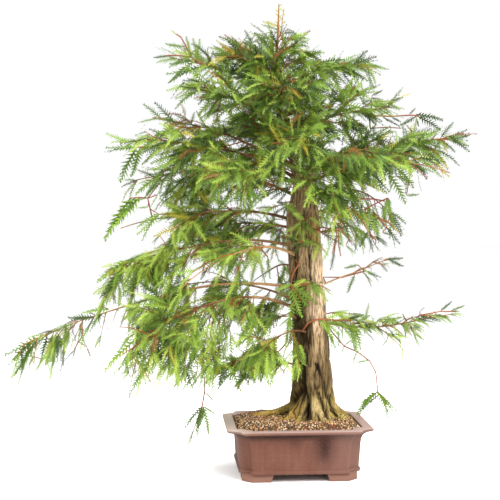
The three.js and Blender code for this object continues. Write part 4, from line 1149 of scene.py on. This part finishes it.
def makeSprayTree():
    tree, given = newTree("sprays on points", [("Sprays", "Collection", None), ("Material", "Material", None)])
    turn = addNode(tree, "FunctionNodeEulerToRotation", {"Euler": fieldOf(tree, "turn", "FLOAT_VECTOR")}).outputs[0]
    kinds = {"Collection": given["Sprays"], "Separate Children": True, "Reset Children": True}
    variants = addNode(tree, "GeometryNodeCollectionInfo", kinds).outputs[0]
    points = addNode(tree, "GeometryNodeMeshToPoints", {"Mesh": given["Geometry"]}).outputs[0]
    placed = {"Points": points, "Instance": variants, "Pick Instance": True, "Rotation": turn,
              "Instance Index": fieldOf(tree, "kind", "INT"), "Scale": fieldOf(tree, "size")}
    endTree(tree, addNode(tree, "GeometryNodeInstanceOnPoints", placed).outputs[0], given["Material"])
    return tree


# Base colours of the sprays, and how many of a hundred there are in sun and in shade, so that light and shade are
# painted into the crown's colours.
needleShades = {
    "bright_needles": (tint(152, 172, 70), 24, 3),
    "light_needles": (tint(134, 158, 60), 25, 9),
    "fresh_needles": (tint(113, 141, 49), 20, 19),
    "leafy_needles": (tint(96, 122, 42), 12, 22),
    "mid_needles": (tint(74, 99, 34), 9, 22),
    "deep_needles": (tint(51, 70, 28), 5, 19),
    "yellowing_needles": (tint(152, 142, 46), 3.5, 2.5),
    "rusty_needles": (tint(122, 76, 36), 1.5, 1.5),
}


sunRule = {
    "reach": 420,
    "depth": 700,
    "low": (420, 1150),  # heights
    "left": (150, -350),
    "right": (60, 300),
    "farLeft": (-520, -740),
    "glow": (0.6, -330, 220, 760, 130),  # a painted pool of sunlight on the crown: strength, and middle and half width across and in height
    "patches": (0.35, 0.011),  # how far patches of the crown differ, and how finely
}


def sunAt(root):  # how sunlit a spray's colour is painted: 1 on the outer and lower left of the crown, 0 deep in its top
    out = math.hypot(root.x - trunkCentre(min(root.z, 1400)).x, root.y) / sunRule["reach"]
    low = 1 - smooth(*sunRule["low"], root.z)
    left = smooth(*sunRule["left"], root.x)
    front = 0.5 - root.y / sunRule["depth"]
    right = smooth(*sunRule["right"], root.x) * (1 - 0.4 * low) + 0.6 * smooth(*sunRule["farLeft"], root.x)
    strength, x, halfWidth, z, halfHeight = sunRule["glow"]
    glow = strength * math.exp(-((root.x - x) / halfWidth) ** 2 - ((root.z - z) / halfHeight) ** 2)
    return min(1, max(0, glow + 0.62 * low + 0.1 * min(1, out) + 0.1 * left + 0.25 * (front - 0.5) - 0.65 * right))


def dealSprays():  # every spray gets its colour by chance and by the light and shade painted at its place
    dealt = {name: [] for name in needleShades}
    most, fineness = sunRule["patches"]
    for spray in sprays:
        root, chance = spray[0], spray[3]
        sun = sunAt(root)
        value = chance + most * noise.noise(root * fineness)
        if not 0 <= value < 1:
            value = chance
        total = 0
        for name, (_, sunny, shady) in needleShades.items():
            total += lerp(shady, sunny, sun) / 100
            if value < total:
                break
        dealt[name].append(spray)
    return dealt


def makeNeedles():
    tree = makeSprayTree()
    kinds = bpy.data.collections.new("spray kinds")
    bpy.context.scene.collection.children.link(kinds)
    for i, form in enumerate(sprayForm["kinds"]):
        name = "spray kind %d" % i
        kinds.objects.link(bpy.data.objects.new(name, sprayMesh(name, *form)))
    for name, dealt in dealSprays().items():
        material = newMaterial(name.replace("_", " "), needleShades[name][0], 0.6, 0.22)[0]
        source = newObject(name + " points", meshFrom(name + " points", [place(s[0]) for s in dealt], []))
        giveField(source.data, "turn", [angle for s in dealt for angle in s[1]], "FLOAT_VECTOR", "vector")
        giveField(source.data, "size", [s[2] * mm for s in dealt])
        giveField(source.data, "kind", [s[4] for s in dealt], "INT")
        mesh = growTree(source, tree, name, Sprays=kinds, Material=material)
        discard(source)
        finishPiece(name, mesh, "needles", massNames)
    discard(*kinds.objects)
    bpy.data.collections.remove(kinds)


# The trunk, with its roots and bark.

trunkSettings = {
    "sides": 96,
    "step": 5,
    "voxel": 2.35,
    "furrow": 3.2,  # depth of the bark's furrows
    "furrowWidth": 11,
    "furrowLength": 90,
    "crack": 1.7,
    "strip": 1.2,
    "flutes": (7, 260, 0.04),
    "bulges": (3, 180, 0.024),
    "low": 172,
    "twist": (0.25, 190),  # how far the furrows turn about the trunk, and over what height
    "sway": (0.12, 0.012),
    "lumps": (2.2, 0.028),
    "ragged": (2, 0.06),  # how far the edge of a cleft wanders, and how finely
    "rootFurrow": 24,  # length of the furrows on the roots
    "rooty": (1.12, 1.55, 250, 330),  # where roots begin: times the radius, and heights
    "neck": (895, 1001, 7),  # where the leader joins it: from height, to height, step
    "rootSides": 14,
    "neckSides": 16,
    "soften": (0.6, 4),
}
# Hollows and knots on the bark: x, height, half width, half height, depth, and 1 for the front or -1 for the back.
barkMarks = [
    (20, 455, 15, 36, 15, 1), (36, 428, 12, 24, 9, 1), (2, 505, 9, 26, 7, 1), (48, 470, 9, 16, -7, 1),
    (4, 482, 10, 12, -7, 1), (22, 398, 10, 14, -6, 1), (-1, 700, 7, 95, 9, 1), (10, 610, 6, 70, 6, 1),
    (18, 300, 7, 60, 9, 1), (60, 330, 6, 60, 6, 1), (84, 290, 6, 50, 6, 1), (28, 236, 11, 34, 15, 1),
    (-5, 240, 9, 30, 9, 1), (44, 560, 8, 20, -3, 1), (70, 380, 8, 18, -4, 1), (40, 760, 6, 60, 5, 1),
    (20, 420, 13, 34, 10, -1), (60, 560, 7, 90, 7, -1), (10, 640, 6, 60, 6, -1), (46, 700, 10, 16, -6, -1),
    (70, 320, 7, 60, 8, -1), (30, 280, 7, 50, 8, -1), (0, 520, 8, 14, -6, -1), (52, 250, 10, 30, 10, -1),
]
# Deep clefts between roots and up the bark: from x, height to x, height, half width, depth, 1 for the front.
clefts = [
    (16, 282, -42, 196, 8, 17, 1), (27, 250, 33, 180, 9, 20, 1), (64, 262, 92, 196, 7, 10, 1),
    (14, 345, 20, 262, 5, 9, 1), (60, 356, 82, 306, 6, 7, 1), (-10, 750, -5, 655, 5, 7, 1),
    (1, 610, 12, 505, 5, 6, 1), (26, 400, 34, 350, 5, 6, 1), (104, 250, 122, 190, 6, 9, 1),
    (88, 300, 96, 250, 4, 5, 1), (-36, 236, -74, 190, 6, 8, 1), (38, 700, 42, 620, 4, 4, 1),
    (20, 280, 0, 190, 8, 14, -1), (90, 280, 104, 190, 8, 14, -1), (54, 420, 58, 300, 5, 8, -1),
    (30, 760, 34, 600, 5, 6, -1),
]


def cleftAt(point, cleft):  # 1 on a cleft's line, 0 away from it
    x0, z0, x1, z1, halfWidth, _, _ = cleft
    dx, dz = x1 - x0, z1 - z0
    most, fineness = trunkSettings["ragged"]
    s = min(1, max(0, ((point.x - x0) * dx + (point.z - z0) * dz) / (dx * dx + dz * dz)))
    away = math.hypot(point.x - x0 - dx * s, point.z - z0 - dz * s) + most * noise.noise(point * fineness)
    return math.exp(-(away / halfWidth) ** 2)


def trunkRings():
    flutes, fluteTwist, fluteDepth = trunkSettings["flutes"]
    bulges, bulgeTwist, bulgeDepth = trunkSettings["bulges"]
    sides = trunkSettings["sides"]
    points = []
    top = trunkStations[-1][0]
    rings = round((top - trunkSettings["low"]) / trunkSettings["step"])
    for ring in range(rings + 1):
        z = lerp(trunkSettings["low"], top, ring / rings)
        centre = stationPoint(trunkStations, z)
        radius = stationValue(trunkStations, z, 3)
        for side in range(sides):
            angle = side / sides * 2 * math.pi
            wave = fluteDepth * math.cos(flutes * angle + z / fluteTwist)
            wave += bulgeDepth * math.cos(bulges * angle - z / bulgeTwist)
            r = radius * (1 + wave) + buttressAt(angle, max(z, groundLevel))
            points.append(centre + Vector((math.cos(angle), math.sin(angle), 0)) * r)
    return points, loftFaces(rings + 1, sides)


def rootLine(azimuth, length, radius, leaves):
    angle = math.radians(azimuth)
    centre = trunkCentre(groundLevel)
    steps = rootForm["steps"]
    most, waves = rootForm["wander"]
    points, radii = [], []
    for i in range(steps + 1):
        share = lerp(rootForm["inner"], 1, i / steps)
        height = (leaves - groundLevel) * ((1 - share) / (1 - rootForm["inner"])) ** rootForm["fall"]
        wander = most * math.sin(share * waves + azimuth) * share
        x = centre.x + math.cos(angle) * length * share - math.sin(angle) * wander
        y = centre.y + math.sin(angle) * length * share + math.cos(angle) * wander
        sunk = rootForm["sunk"] * radius * (1 + 0.9 * smooth(0.75, 1, share))
        points.append(Vector((x, y, groundLevel - sunk + height)))
        radii.append(radius * (1 - rootForm["taper"] * share) * (1 - 0.35 * smooth(0.85, 1, share)))
    return points, radii


def barkRelief(point):  # how far the bark stands out or in, the furrow's share and the marks' share
    form = trunkSettings
    z = point.z
    centre = trunkCentre(min(z, trunkStations[-2][0]))
    dx, dy = point.x - centre.x, point.y - centre.y
    spot = Vector((dx, dy, z))
    out = math.hypot(dx, dy)
    (twist, twistHeight), (sway, swaySize), (lump, lumpSize) = form["twist"], form["sway"], form["lumps"]
    angle = math.atan2(dy, dx) + twist * math.sin(z / twistHeight) + sway * noise.noise(spot * swaySize)
    base = trunkRadiusAt(z) if z > groundLevel else trunkStations[0][3]
    near, far, low, high = form["rooty"]
    rooty = smooth(near, far, out / base) * (1 - smooth(low, high, z))
    length = lerp(form["furrowLength"], form["rootFurrow"], rooty)
    ring = 56 / form["furrowWidth"]
    where = Vector((math.cos(angle) * ring, math.sin(angle) * ring, z / length))
    where.z += rooty * out / 60
    fineWhere = Vector((math.cos(angle) * ring * 2.3, math.sin(angle) * ring * 2.3, z / length * 1.9 + 7))
    furrow = smooth(0.55, 1, 1 - 2 * abs(noise.noise(where)))
    crack = smooth(0.7, 1, 1 - 2 * abs(noise.noise(fineWhere * 0.8 + Vector((3, 5, 0)))))
    relief = form["strip"] * noise.noise(fineWhere) + lump * noise.noise(spot * lumpSize)
    relief -= form["furrow"] * furrow * (1 - 0.6 * rooty) + form["crack"] * crack
    furrow = max(furrow, 0.7 * crack)
    marks = 0
    for cleft in clefts:
        depth, face = cleft[5:]
        if dy * face < 8:
            share = cleftAt(point, cleft)
            relief -= depth * share
            marks = max(marks, min(1, 1.2 * share))
    for x, height, halfWidth, halfHeight, depth, face in barkMarks:
        if dy * face > 8:
            continue
        share = math.exp(-((point.x - x - 0.08 * (z - height)) / halfWidth) ** 2 - ((z - height) / halfHeight) ** 2)
        relief -= depth * share
        marks = max(marks, share * smooth(0, 12, depth))
    return relief * smooth(0, 20, out), furrow, marks


def barkMaterial():
    material, tree, shader = newMaterial("furrowed bark", tint(140, 118, 84), 0.9, 0.1)
    long = objectNoise(tree, 30, (1, 1, 0.14), detail=5, roughness=0.6)
    patches = objectNoise(tree, 11, (1, 1, 0.5))
    fibres = objectNoise(tree, 240, (1, 1, 0.1), detail=4, roughness=0.65)
    speckle = objectNoise(tree, 90, (1, 1, 0.6), detail=5, roughness=0.7)
    height = axesOf(tree, objectPlace(tree))["Z"]
    high, foot = spread(tree, height, 0.4, 0.56), spread(tree, height, 0.28, 0.2)
    dark = layered(tree, tint(80, 64, 40), [(high, tint(112, 90, 60)), (foot, tint(112, 94, 58))])
    light = layered(tree, tint(146, 122, 84), [(high, tint(180, 153, 112)), (foot, tint(212, 186, 122))])
    mossy = mixColours(tree, spread(tree, patches, 0.4, 0.6), tint(132, 122, 42), tint(192, 152, 68))
    colour = layered(tree, dark, [
        (spread(tree, long, 0.32, 0.66), light),
        (spread(tree, patches, 0.52, 0.68), tint(132, 112, 68)),
        # paler bark on the front right: partly exposed pale bark, partly painted light where the key light falls
        (shareOf(tree, "worn_and_lit"), tint(224, 194, 160)),
        # painted shade on the trunk's left side
        (shareOf(tree, "painted_shade"), tint(66, 58, 33)),
        (spread(tree, fibres, 0.5, 0.33), tint(56, 42, 24)),
        (combine(tree, "MULTIPLY", shareOf(tree, "moss"), spread(tree, speckle, 0.36, 0.6)), mossy),
        # painted shade in the furrows, cracks, clefts and hollows
        (shareOf(tree, "furrow"), tint(36, 26, 14)),
    ])
    finishSurface(tree, shader, colour, combine(tree, "ADD", fibres, speckle), 0.7, 0.0022)
    return material


def mossAt(point):
    base = 0.7 * (1 - smooth(185, 310, point.z))
    patch = math.exp(-((point.x - 60) / 18) ** 2 - ((point.z - 775) / 40) ** 2) if point.y < 0 else 0
    side = 0.3 * smooth(10, -40, point.x) * (1 - smooth(300, 620, point.z))
    return min(1, base + patch + side)


def paintedShadeAt(point):  # painted shade on the bark's left side, away from the key light
    away = (point.x - trunkCentre(min(point.z, 900)).x) / trunkRadiusAt(max(200, min(point.z, 900)))
    return 0.92 * smooth(0.05, -0.6, away) * (1 - smooth(520, 680, point.z)) * smooth(185, 260, point.z)


# Paler bark on the front right and on a root at its foot: partly exposed pale bark, partly painted light on the side
# the key light falls on.
def wornAndLitAt(point):
    if point.y > 25:
        return 0
    rootLight = 0.6 * math.exp(-((point.x - 78 + 0.9 * (point.z - 190)) / 24) ** 2) * (1 - smooth(230, 265, point.z))
    return max(rootLight, 0.9 * smooth(22, 58, point.x) * math.exp(-((point.z - 590) / 120) ** 2))


def leaderLine(low, high, step):  # the leader's points and radii
    heights = range(low, high, step)
    return [stationPoint(leaderStations, z) for z in heights], [stationValue(leaderStations, z, 3) for z in heights]


def makeTrunk(tubeTree):
    material = barkMaterial()
    points, faces = trunkRings()
    stem = meshFrom("trunk form", [place(p) for p in points], faces)
    rootLines = [rootLine(*root) for root in roots]
    rootMesh = growTubes("root form", rootLines, tubeTree, trunkSettings["rootSides"], 0, 40, material)
    neckLines = [leaderLine(*trunkSettings["neck"])]
    neckMesh = growTubes("neck form", neckLines, tubeTree, trunkSettings["neckSides"], 0, 40, material)
    source = newObject("trunk form", joinMeshes("trunk form", [stem, rootMesh, neckMesh]))
    remesh = source.modifiers.new("one skin", "REMESH")
    remesh.mode = "VOXEL"
    remesh.voxel_size = trunkSettings["voxel"] * mm
    soften = source.modifiers.new("soft joints", "SMOOTH")
    soften.factor, soften.iterations = trunkSettings["soften"]
    skin = evaluated(source, "trunk")
    discard(source)
    moved = []
    shares = {"furrow": [], "moss": [], "worn_and_lit": [], "painted_shade": []}
    for vertex in skin.vertices:
        point = (vertex.co - potCentre) / mm
        relief, furrow, marks = barkRelief(point)
        moved.append(vertex.co + vertex.normal * relief * mm)
        # painted shade in the furrows, cracks, clefts and hollows
        shares["furrow"].append(min(1, 0.75 * furrow + 0.8 * marks))
        shares["moss"].append(mossAt(point))
        # paler bark on the right: partly exposed pale bark, partly painted light
        shares["worn_and_lit"].append(wornAndLitAt(point))
        # painted shade on the trunk's left side
        shares["painted_shade"].append(paintedShadeAt(point))
    for vertex, position in zip(skin.vertices, moved):
        vertex.co = position
    for name, values in shares.items():
        giveField(skin, name, values)
    skin.shade_smooth()
    skin.update()
    finishPiece("trunk_bark", skin, "bark", ["trunk"], material)


# The soil and its grit.

gritSettings = {
    "size": (2.0, 4.2),  # half the width of a grain
    "flat": 0.7,
    "colours": {  # grains to the square metre
        "tan_grit": (tint(190, 142, 84), 11000),
        "cream_grit": (tint(228, 206, 168), 7500),
        "brick_grit": (tint(150, 74, 40), 7500),
        "brown_grit": (tint(48, 32, 20), 10000),
        "grey_grit": (tint(104, 108, 84), 3500),
    },
}


def makeGritTree():
    sockets = [("Grain", "Object", None), ("Density", "Float", 1000.0), ("Seed", "Int", 1),
               ("Smallest", "Float", 0.002), ("Largest", "Float", 0.003), ("Flat", "Float", 0.7),
               ("Material", "Material", None)]
    tree, given = newTree("grit on soil", sockets)
    count = combine(tree, "MULTIPLY", fieldOf(tree, "bare"), given["Density"])
    scattered = {"Mesh": given["Geometry"], "Density": count, "Seed": given["Seed"]}
    points = addNode(tree, "GeometryNodeDistributePointsOnFaces", scattered).outputs[0]
    turn = {"Min": (0, 0, 0), "Max": (6.28, 6.28, 6.28), "Seed": given["Seed"]}
    turns = addNode(tree, "FunctionNodeRandomValue", turn, data_type="FLOAT_VECTOR").outputs[0]
    wide = {2: given["Smallest"], 3: given["Largest"], "Seed": given["Seed"]}
    width = addNode(tree, "FunctionNodeRandomValue", wide, data_type="FLOAT").outputs[1]
    flat = combine(tree, "MULTIPLY", width, given["Flat"])
    sizes = addNode(tree, "ShaderNodeCombineXYZ", {"X": width, "Y": flat, "Z": flat}).outputs[0]
    grain = addNode(tree, "GeometryNodeObjectInfo", {"Object": given["Grain"]}).outputs["Geometry"]
    placed = {"Points": points, "Instance": grain, "Rotation": turns, "Scale": sizes}
    endTree(tree, addNode(tree, "GeometryNodeInstanceOnPoints", placed).outputs[0], given["Material"])
    return tree


def grainMesh():
    form = bmesh.new()
    bmesh.ops.create_icosphere(form, subdivisions=1, radius=1)
    for i, vertex in enumerate(form.verts):
        vertex.co *= 0.82 + 0.36 * ((i * 5) % 7) / 6
    return meshOf("grain", form)


# The pot.

potSettings = {
    "width": 460,
    "depth": 388,
    "lipCorner": 48,
    "bodyCorner": 40,
    "bodyInset": 36,
    "arris": 5,  # how far an arris is rounded
    "hollow": 10,  # how far a corner's face curves in
    "support": 9,
    "outside": [
        (24, 46), (24.6, 42), (25.8, 39.6), (28, 38.1), (31.5, 37.6), (35, 38.2), (37.4, 39.8), (38.6, 41.5),
        (40.4, 42), (60, 40.6), (90, 38.5), (116, 36.6), (128, 34.8), (136, 32.2), (142, 28.6), (147, 23.6),
        (151, 17), (153.6, 10.4), (155, 5.4), (156.4, 2.4), (158.2, 0.6), (160.4, 0), (162.8, 0.3), (164.8, 1.5),
        (165.8, 3.4), (166, 6),
    ],
    "inside": [
        (166, 26), (165.7, 29.4), (164.6, 31.6), (162, 33), (156, 34.6), (148, 42), (130, 50), (42, 58), (38, 62),
    ],
    "drains": (12, 190),  # radius, distance apart
    "drill": 60,
    "unevenness": 0.35,
}
footSettings = {
    "inset": 48,
    "corner": 30,
    "arms": (60, 70),  # at the floor and where they meet the pot
    "thickness": 26,
    "height": 24,
    "sunk": 3,
    "arris": 2.2,
}
soilRings = [  # height, inset from the lip
    (38.3, 58.6), (130, 50.6), (148, 42.6), (155, 37), (158, 38.5), (163, 42), (168, 47), (173, 53), (176.5, 60),
    (178, 68),
]
potStains = [  # dark smudges on the clay: place, how tight each way, strength
    ((74, -156, 108), (20, 20, 12), 0.7), ((72, -156, 112), (42, 20, 17), 0.85), ((66, -158, 136), (22, 20, 38), 0.5),
    ((-22, -158, 128), (30, 20, 34), 0.4), ((-120, 156, 100), (26, 20, 18), 0.5),
]


def outlineAt(z, inset, corner, arris, hollow):
    w = potSettings["width"] / 2 - inset
    d = potSettings["depth"] / 2 - inset
    support = potSettings["support"]
    arrises = [(w - corner, -d), (w, -d + corner), (w, d - corner), (w - corner, d),
               (-w + corner, d), (-w, d - corner), (-w, -d + corner), (-w + corner, -d)]
    points = []
    for i, here in enumerate(arrises):
        before, here, after = Vector(arrises[i - 1]), Vector(here), Vector(arrises[(i + 1) % 8])
        back, on = (before - here).normalized(), (after - here).normalized()
        start, end = here + back * arris, here + on * arris
        if i % 2 == 0:
            points.append(here + back * support)
        for k in range(5):
            s = k / 4
            points.append(start * (1 - s) ** 2 + here * 2 * s * (1 - s) + end * s * s)
        if i % 2 == 0:
            inward = Vector((-on.y, on.x))
            points += [here.lerp(after, s) + inward * hollow * 4 * s * (1 - s) for s in (0.3, 0.5, 0.7)]
        else:
            points += [here + on * support, here.lerp(after, 0.5)]
    return [Vector((p.x, p.y, z)) for p in points]


def curveThrough(levels, parts):  # a smooth profile through its levels
    result = []
    for i in range(len(levels) - 1):
        before, here = Vector(levels[max(0, i - 1)]), Vector(levels[i])
        after, last = Vector(levels[i + 1]), Vector(levels[min(len(levels) - 1, i + 2)])
        for k in range(parts):
            s = k / parts
            bend = (after - before) * s + (before * 2 - here * 5 + after * 4 - last) * s * s
            result.append(here + 0.5 * (bend + (here * 3 - before - after * 3 + last) * s ** 3))
    return [tuple(p) for p in result] + [levels[-1]]


def cornerAt(inset):
    return lerp(potSettings["lipCorner"], potSettings["bodyCorner"], min(1, inset / potSettings["bodyInset"]))


def clayMaterial():
    material, tree, shader = newMaterial("unglazed clay", tint(104, 69, 57), 0.8, 0.15)
    clouds = objectNoise(tree, 9, detail=4, roughness=0.6)
    strokes = objectNoise(tree, 60, (1, 1, 0.12), detail=4)
    sand = objectNoise(tree, 900, detail=2)
    where = objectPlace(tree)
    axes = axesOf(tree, where)
    height = axes["Z"]

    def across(low, high, most=1):  # a share that grows from one place to another along the pot, in metres
        return combine(tree, "MULTIPLY", spread(tree, axes["X"], potCentre.x + low, potCentre.x + high), most)

    # painted shade: a dark band under the lip's overhang
    underLipShade = combine(tree, "MULTIPLY", spread(tree, height, 0.128, 0.146), spread(tree, height, 0.156, 0.151))
    # the lip paler, most on its upward faces and towards the left: partly a chalky bloom, partly painted light
    facing = axesOf(tree, addNode(tree, "ShaderNodeNewGeometry").outputs["Normal"])["Z"]
    rim = combine(tree, "MULTIPLY_ADD", spread(tree, facing, 0.3, 0.85), 0.85, 0.15)
    rim = combine(tree, "MULTIPLY", combine(tree, "MULTIPLY", rim, spread(tree, height, 0.153, 0.163)), 0.8)
    layers = [
        (spread(tree, clouds, 0.36, 0.64), tint(110, 74, 61)),
        (spread(tree, strokes, 0.8, 0.3), tint(93, 58, 46)),
        # painted shade under the lip
        (underLipShade, tint(46, 28, 22)),
        # painted shading on the corner facets: greyer towards the right facet and on the left facet
        (across(0.02, 0.17, 0.55), tint(116, 88, 79)),
        (across(-0.165, -0.2, 0.6), tint(106, 84, 77)),
        # partly a chalky bloom, partly painted light on the lip
        (rim, tint(168, 145, 136)),
        (combine(tree, "MULTIPLY", rim, across(-0.15, -0.21)), tint(186, 170, 156)),
        (spread(tree, height, 0.03, 0.014), tint(124, 90, 76)),
    ]
    for centre, size, depth in potStains:
        offset = addNode(tree, "ShaderNodeVectorMath", {0: where, 1: place(centre)}, operation="SUBTRACT").outputs[0]
        scaled = addNode(tree, "ShaderNodeVectorMath", {0: offset, 1: size}, operation="MULTIPLY").outputs[0]
        away = addNode(tree, "ShaderNodeVectorMath", {0: scaled}, operation="LENGTH").outputs["Value"]
        layers.append((combine(tree, "MULTIPLY", spread(tree, away, 1, 0.1), depth), tint(48, 25, 19)))
    layers.append((spread(tree, sand, 0.62, 0.74), tint(150, 122, 108)))
    colour = layered(tree, tint(95, 60, 48), layers)
    finishSurface(tree, shader, colour, combine(tree, "ADD", sand, strokes), 0.35, 0.0006)
    return material


def potMesh():
    levels = curveThrough(potSettings["outside"], 2) + curveThrough(potSettings["inside"], 2)
    rings = []
    for z, inset in levels:
        rings += outlineAt(z, inset, cornerAt(inset), potSettings["arris"], potSettings["hollow"])
    uneven, apart = potSettings["unevenness"], Vector((9, 0, 0))
    rings = [p + uneven * Vector((noise.noise(p * 0.02), noise.noise(p * 0.02 + apart), 0)) for p in rings]
    faces = loftFaces(len(levels), len(rings) // len(levels))
    pot = newObject("pot form", meshFrom("pot form", [place(p) for p in rings], faces))
    radius, spacing = potSettings["drains"]
    drills = []
    for side in (-1, 1):
        form = bmesh.new()
        at = Matrix.Translation(place((side * spacing / 2, 0, footSettings["height"])))
        bmesh.ops.create_cone(form, cap_ends=True, segments=32, radius1=radius * mm, radius2=radius * mm,
                              depth=potSettings["drill"] * mm, matrix=at)
        drills.append(newObject("drill", meshOf("drill", form)))
        cut = pot.modifiers.new("drain", "BOOLEAN")
        cut.object = drills[-1]
        cut.solver = "EXACT"
    mesh = evaluated(pot, "pot")
    discard(pot, *drills)
    return mesh


def footMesh():
    form = bmesh.new()
    w = potSettings["width"] / 2 - footSettings["inset"]
    d = potSettings["depth"] / 2 - footSettings["inset"]
    t, c = footSettings["thickness"], footSettings["corner"]
    k = c - t * (math.sqrt(2) - 1)
    levels = (0, footSettings["height"] + footSettings["sunk"])
    for sideX, sideY in ((-1, -1), (-1, 1), (1, -1), (1, 1)):
        rings = []
        for z, arm in zip(levels, footSettings["arms"]):
            plan = [(w - c - arm, -d), (w - c, -d), (w, -d + c), (w, -d + c + arm), (w - t, -d + c + arm),
                    (w - t, -d + k + t), (w - k - t, -d + t), (w - c - arm, -d + t)]
            rings.append([form.verts.new(place((x * sideX, -y * sideY, z))) for x, y in plan])
        for i in range(8):
            j = (i + 1) % 8
            form.faces.new((rings[0][i], rings[0][j], rings[1][j], rings[1][i]))
        form.faces.new(rings[0])
        form.faces.new(rings[1])
    bmesh.ops.recalc_face_normals(form, faces=form.faces)
    feet = newObject("feet form", meshOf("feet", form))
    bevel = feet.modifiers.new("soft arris", "BEVEL")
    bevel.width = footSettings["arris"] * mm
    bevel.segments = 3
    rounded = evaluated(feet, "feet")
    discard(feet)
    return rounded


def makePot():
    joined = joinMeshes("pot", [potMesh(), footMesh()])
    joined.shade_smooth()
    joined.set_sharp_from_angle(angle=math.radians(40))
    finishPiece("clay_pot", joined, "clay", ["pot"], clayMaterial())


soilSettings = {
    "rings": (76, 190, 8),  # insets of the level rings: from, to, step
    "corner": (67, 40, 62),  # of the rings, reached between these insets
    "closing": (194, 130),
    "bumps": 1.3,
    "even": 154,  # height under which the soil lies against the pot
}


def bareAt(point):  # 1 where the soil shows, 0 under the trunk
    if point.z < soilSettings["even"]:
        return 0
    centre = trunkCentre(groundLevel)
    dx, dy = point.x - centre.x, point.y - centre.y
    angle = math.atan2(dy, dx)
    return smooth(-14, -2, math.hypot(dx, dy) - 80 - buttressAt(angle, groundLevel) * 0.8)


def makeSoil():
    levels = soilRings + [(groundLevel, inset) for inset in range(*soilSettings["rings"])]
    widest, low, high = soilSettings["corner"]
    last, span = soilSettings["closing"]
    rings = []
    for z, inset in levels:
        corner = lerp(potSettings["bodyCorner"], widest, smooth(low, high, inset)) * min(1, (last - inset) / span)
        rings += outlineAt(z, inset, corner, min(potSettings["arris"], corner * 0.3), 0)
    sides = len(rings) // len(levels)
    shaped = []
    for p in rings:
        bumps = noise.noise(p * 0.03) + 0.5 * noise.noise(p * 0.09)
        shaped.append(p + up * (soilSettings["bumps"] * bumps if p.z > soilSettings["even"] else 0))
    mesh = meshFrom("soil", [place(p) for p in shaped], loftFaces(len(levels), sides))
    giveField(mesh, "bare", [bareAt(p) for p in shaped])
    material, tree, shader = newMaterial("damp soil", tint(84, 62, 42), 0.95)
    crumbs = objectNoise(tree, 260, detail=4, roughness=0.7)
    finishSurface(tree, shader, mixColours(tree, crumbs, tint(40, 27, 17), tint(104, 78, 50)), crumbs, 1, 0.002)
    makeGrit(finishPiece("soil_bed", mesh, "soil", ["soil"], material))


def makeGrit(soil):
    tree = makeGritTree()
    grain = newObject("grain", grainMesh())
    small, large = gritSettings["size"]
    sizes = {"Smallest": small * mm, "Largest": large * mm, "Flat": gritSettings["flat"]}
    for seed, (name, (colour, density)) in enumerate(gritSettings["colours"].items()):
        material, nodes, shader = newMaterial(name.replace("_", " "), colour, 0.85)
        varied = mixColours(nodes, objectNoise(nodes, 300), darker(colour, 0.7), colour)
        nodes.links.new(varied, shader.inputs["Base Color"])
        source = newObject(name + " bed", soil.data.copy())
        mesh = growTree(source, tree, name, Grain=grain, Density=float(density), Seed=seed + 3, Material=material,
                        **sizes)
        discard(source)
        finishPiece(name, mesh, "soil", ["soil"])
    discard(grain)


# The wood above the trunk. At the apex stand two bare young shoots with buds.

apexShoots = {
    "leader": (975, 1400, 8),  # from height, to height, step
    "tip": (1395, 1506, 5),
    "second": [(-52, 0, 1398), (-46, -1, 1430), (-43, -2, 1462), (-39, 0, 1490)],
    "radius": 1.9,
    "buds": 14,
    "lowestBud": 1418,
    "budGap": 6,
    "budLength": 15,
    "budRadii": [1.2, 2.1, 0.5],
}


def tapered(points, thick, thin):
    last = len(points) - 1
    return points, [lerp(thick, thin, i / last) for i in range(last + 1)]


def budLines():
    second = apexShoots["second"]
    low, high = Vector(second[1]), Vector(second[3])
    lines = []
    for i in range(apexShoots["buds"]):
        z = apexShoots["lowestBud"] + apexShoots["budGap"] * i
        root = stationPoint(leaderStations, z) if i % 3 else low.lerp(high, i / apexShoots["buds"])
        heading = Vector((0.8 if i % 2 else -0.8, 0.5 * math.sin(i * 2.3), 0.75)).normalized()
        lines.append(([root + heading * s * apexShoots["budLength"] for s in (0, 0.5, 1)], apexShoots["budRadii"]))
    return lines


def makeWood(tubeTree):
    young = woodMaterial("young bark", tint(132, 70, 42), tint(180, 112, 68), 0.7)
    old = woodMaterial("bough bark", tint(90, 58, 42), tint(182, 140, 94), 0.8)
    green = woodMaterial("shoot bark", tint(134, 84, 46), tint(168, 112, 64), 0.6)
    budGreen = newMaterial("bud green", tint(150, 160, 64), 0.6)[0]
    boughNames = ["bough_" + limb["name"] for limb in limbs if limb["bough"]]
    second = tapered([Vector(p) for p in apexShoots["second"]], apexShoots["radius"], 1)
    shoots = [leaderLine(*apexShoots["tip"]), second]
    thinnest = growth["radii"][1][0]
    pieces = {  # lines, material, slot, nodes
        "boughs": ([limbLine(limb) for limb in limbs], old, "bark", boughNames + massNames),
        "leader": ([leaderLine(*apexShoots["leader"])], old, "bark", ["trunk"]),
        "apex_shoots": (shoots, green, "bark", ["trunk"]),
        "apex_buds": (budLines(), budGreen, "needles", ["trunk"]),
        "twigs": ([tapered(*line) for line in twigLines if line[1] > thinnest], young, "bark", massNames),
        "fine_twigs": ([tapered(*line) for line in twigLines if line[1] <= thinnest], green, "bark", massNames),
    }
    for name, (lines, material, slotName, nodes) in pieces.items():
        mesh = growTubes(name.replace("_", " "), lines, tubeTree, *tubeForms[name], material)
        finishPiece(name, mesh, slotName, nodes)


makeCamera()
makeStudio()
print("camera and studio")
makePot()
makeSoil()
print("pot and soil")
tubeTree = makeTubeTree()
makeTrunk(tubeTree)
print("trunk")
findRooms()
for order, limb in enumerate(limbs):
    growLimb(limb, order)
growInnerShoots()
growTrunkShoots()
growBareTwigs()
growExtraTwigs()
addLoneShoots()
print("grown:", len(twigLines), "twigs and", len(sprays), "sprays")
makeWood(tubeTree)
makeNeedles()
print("foliage")
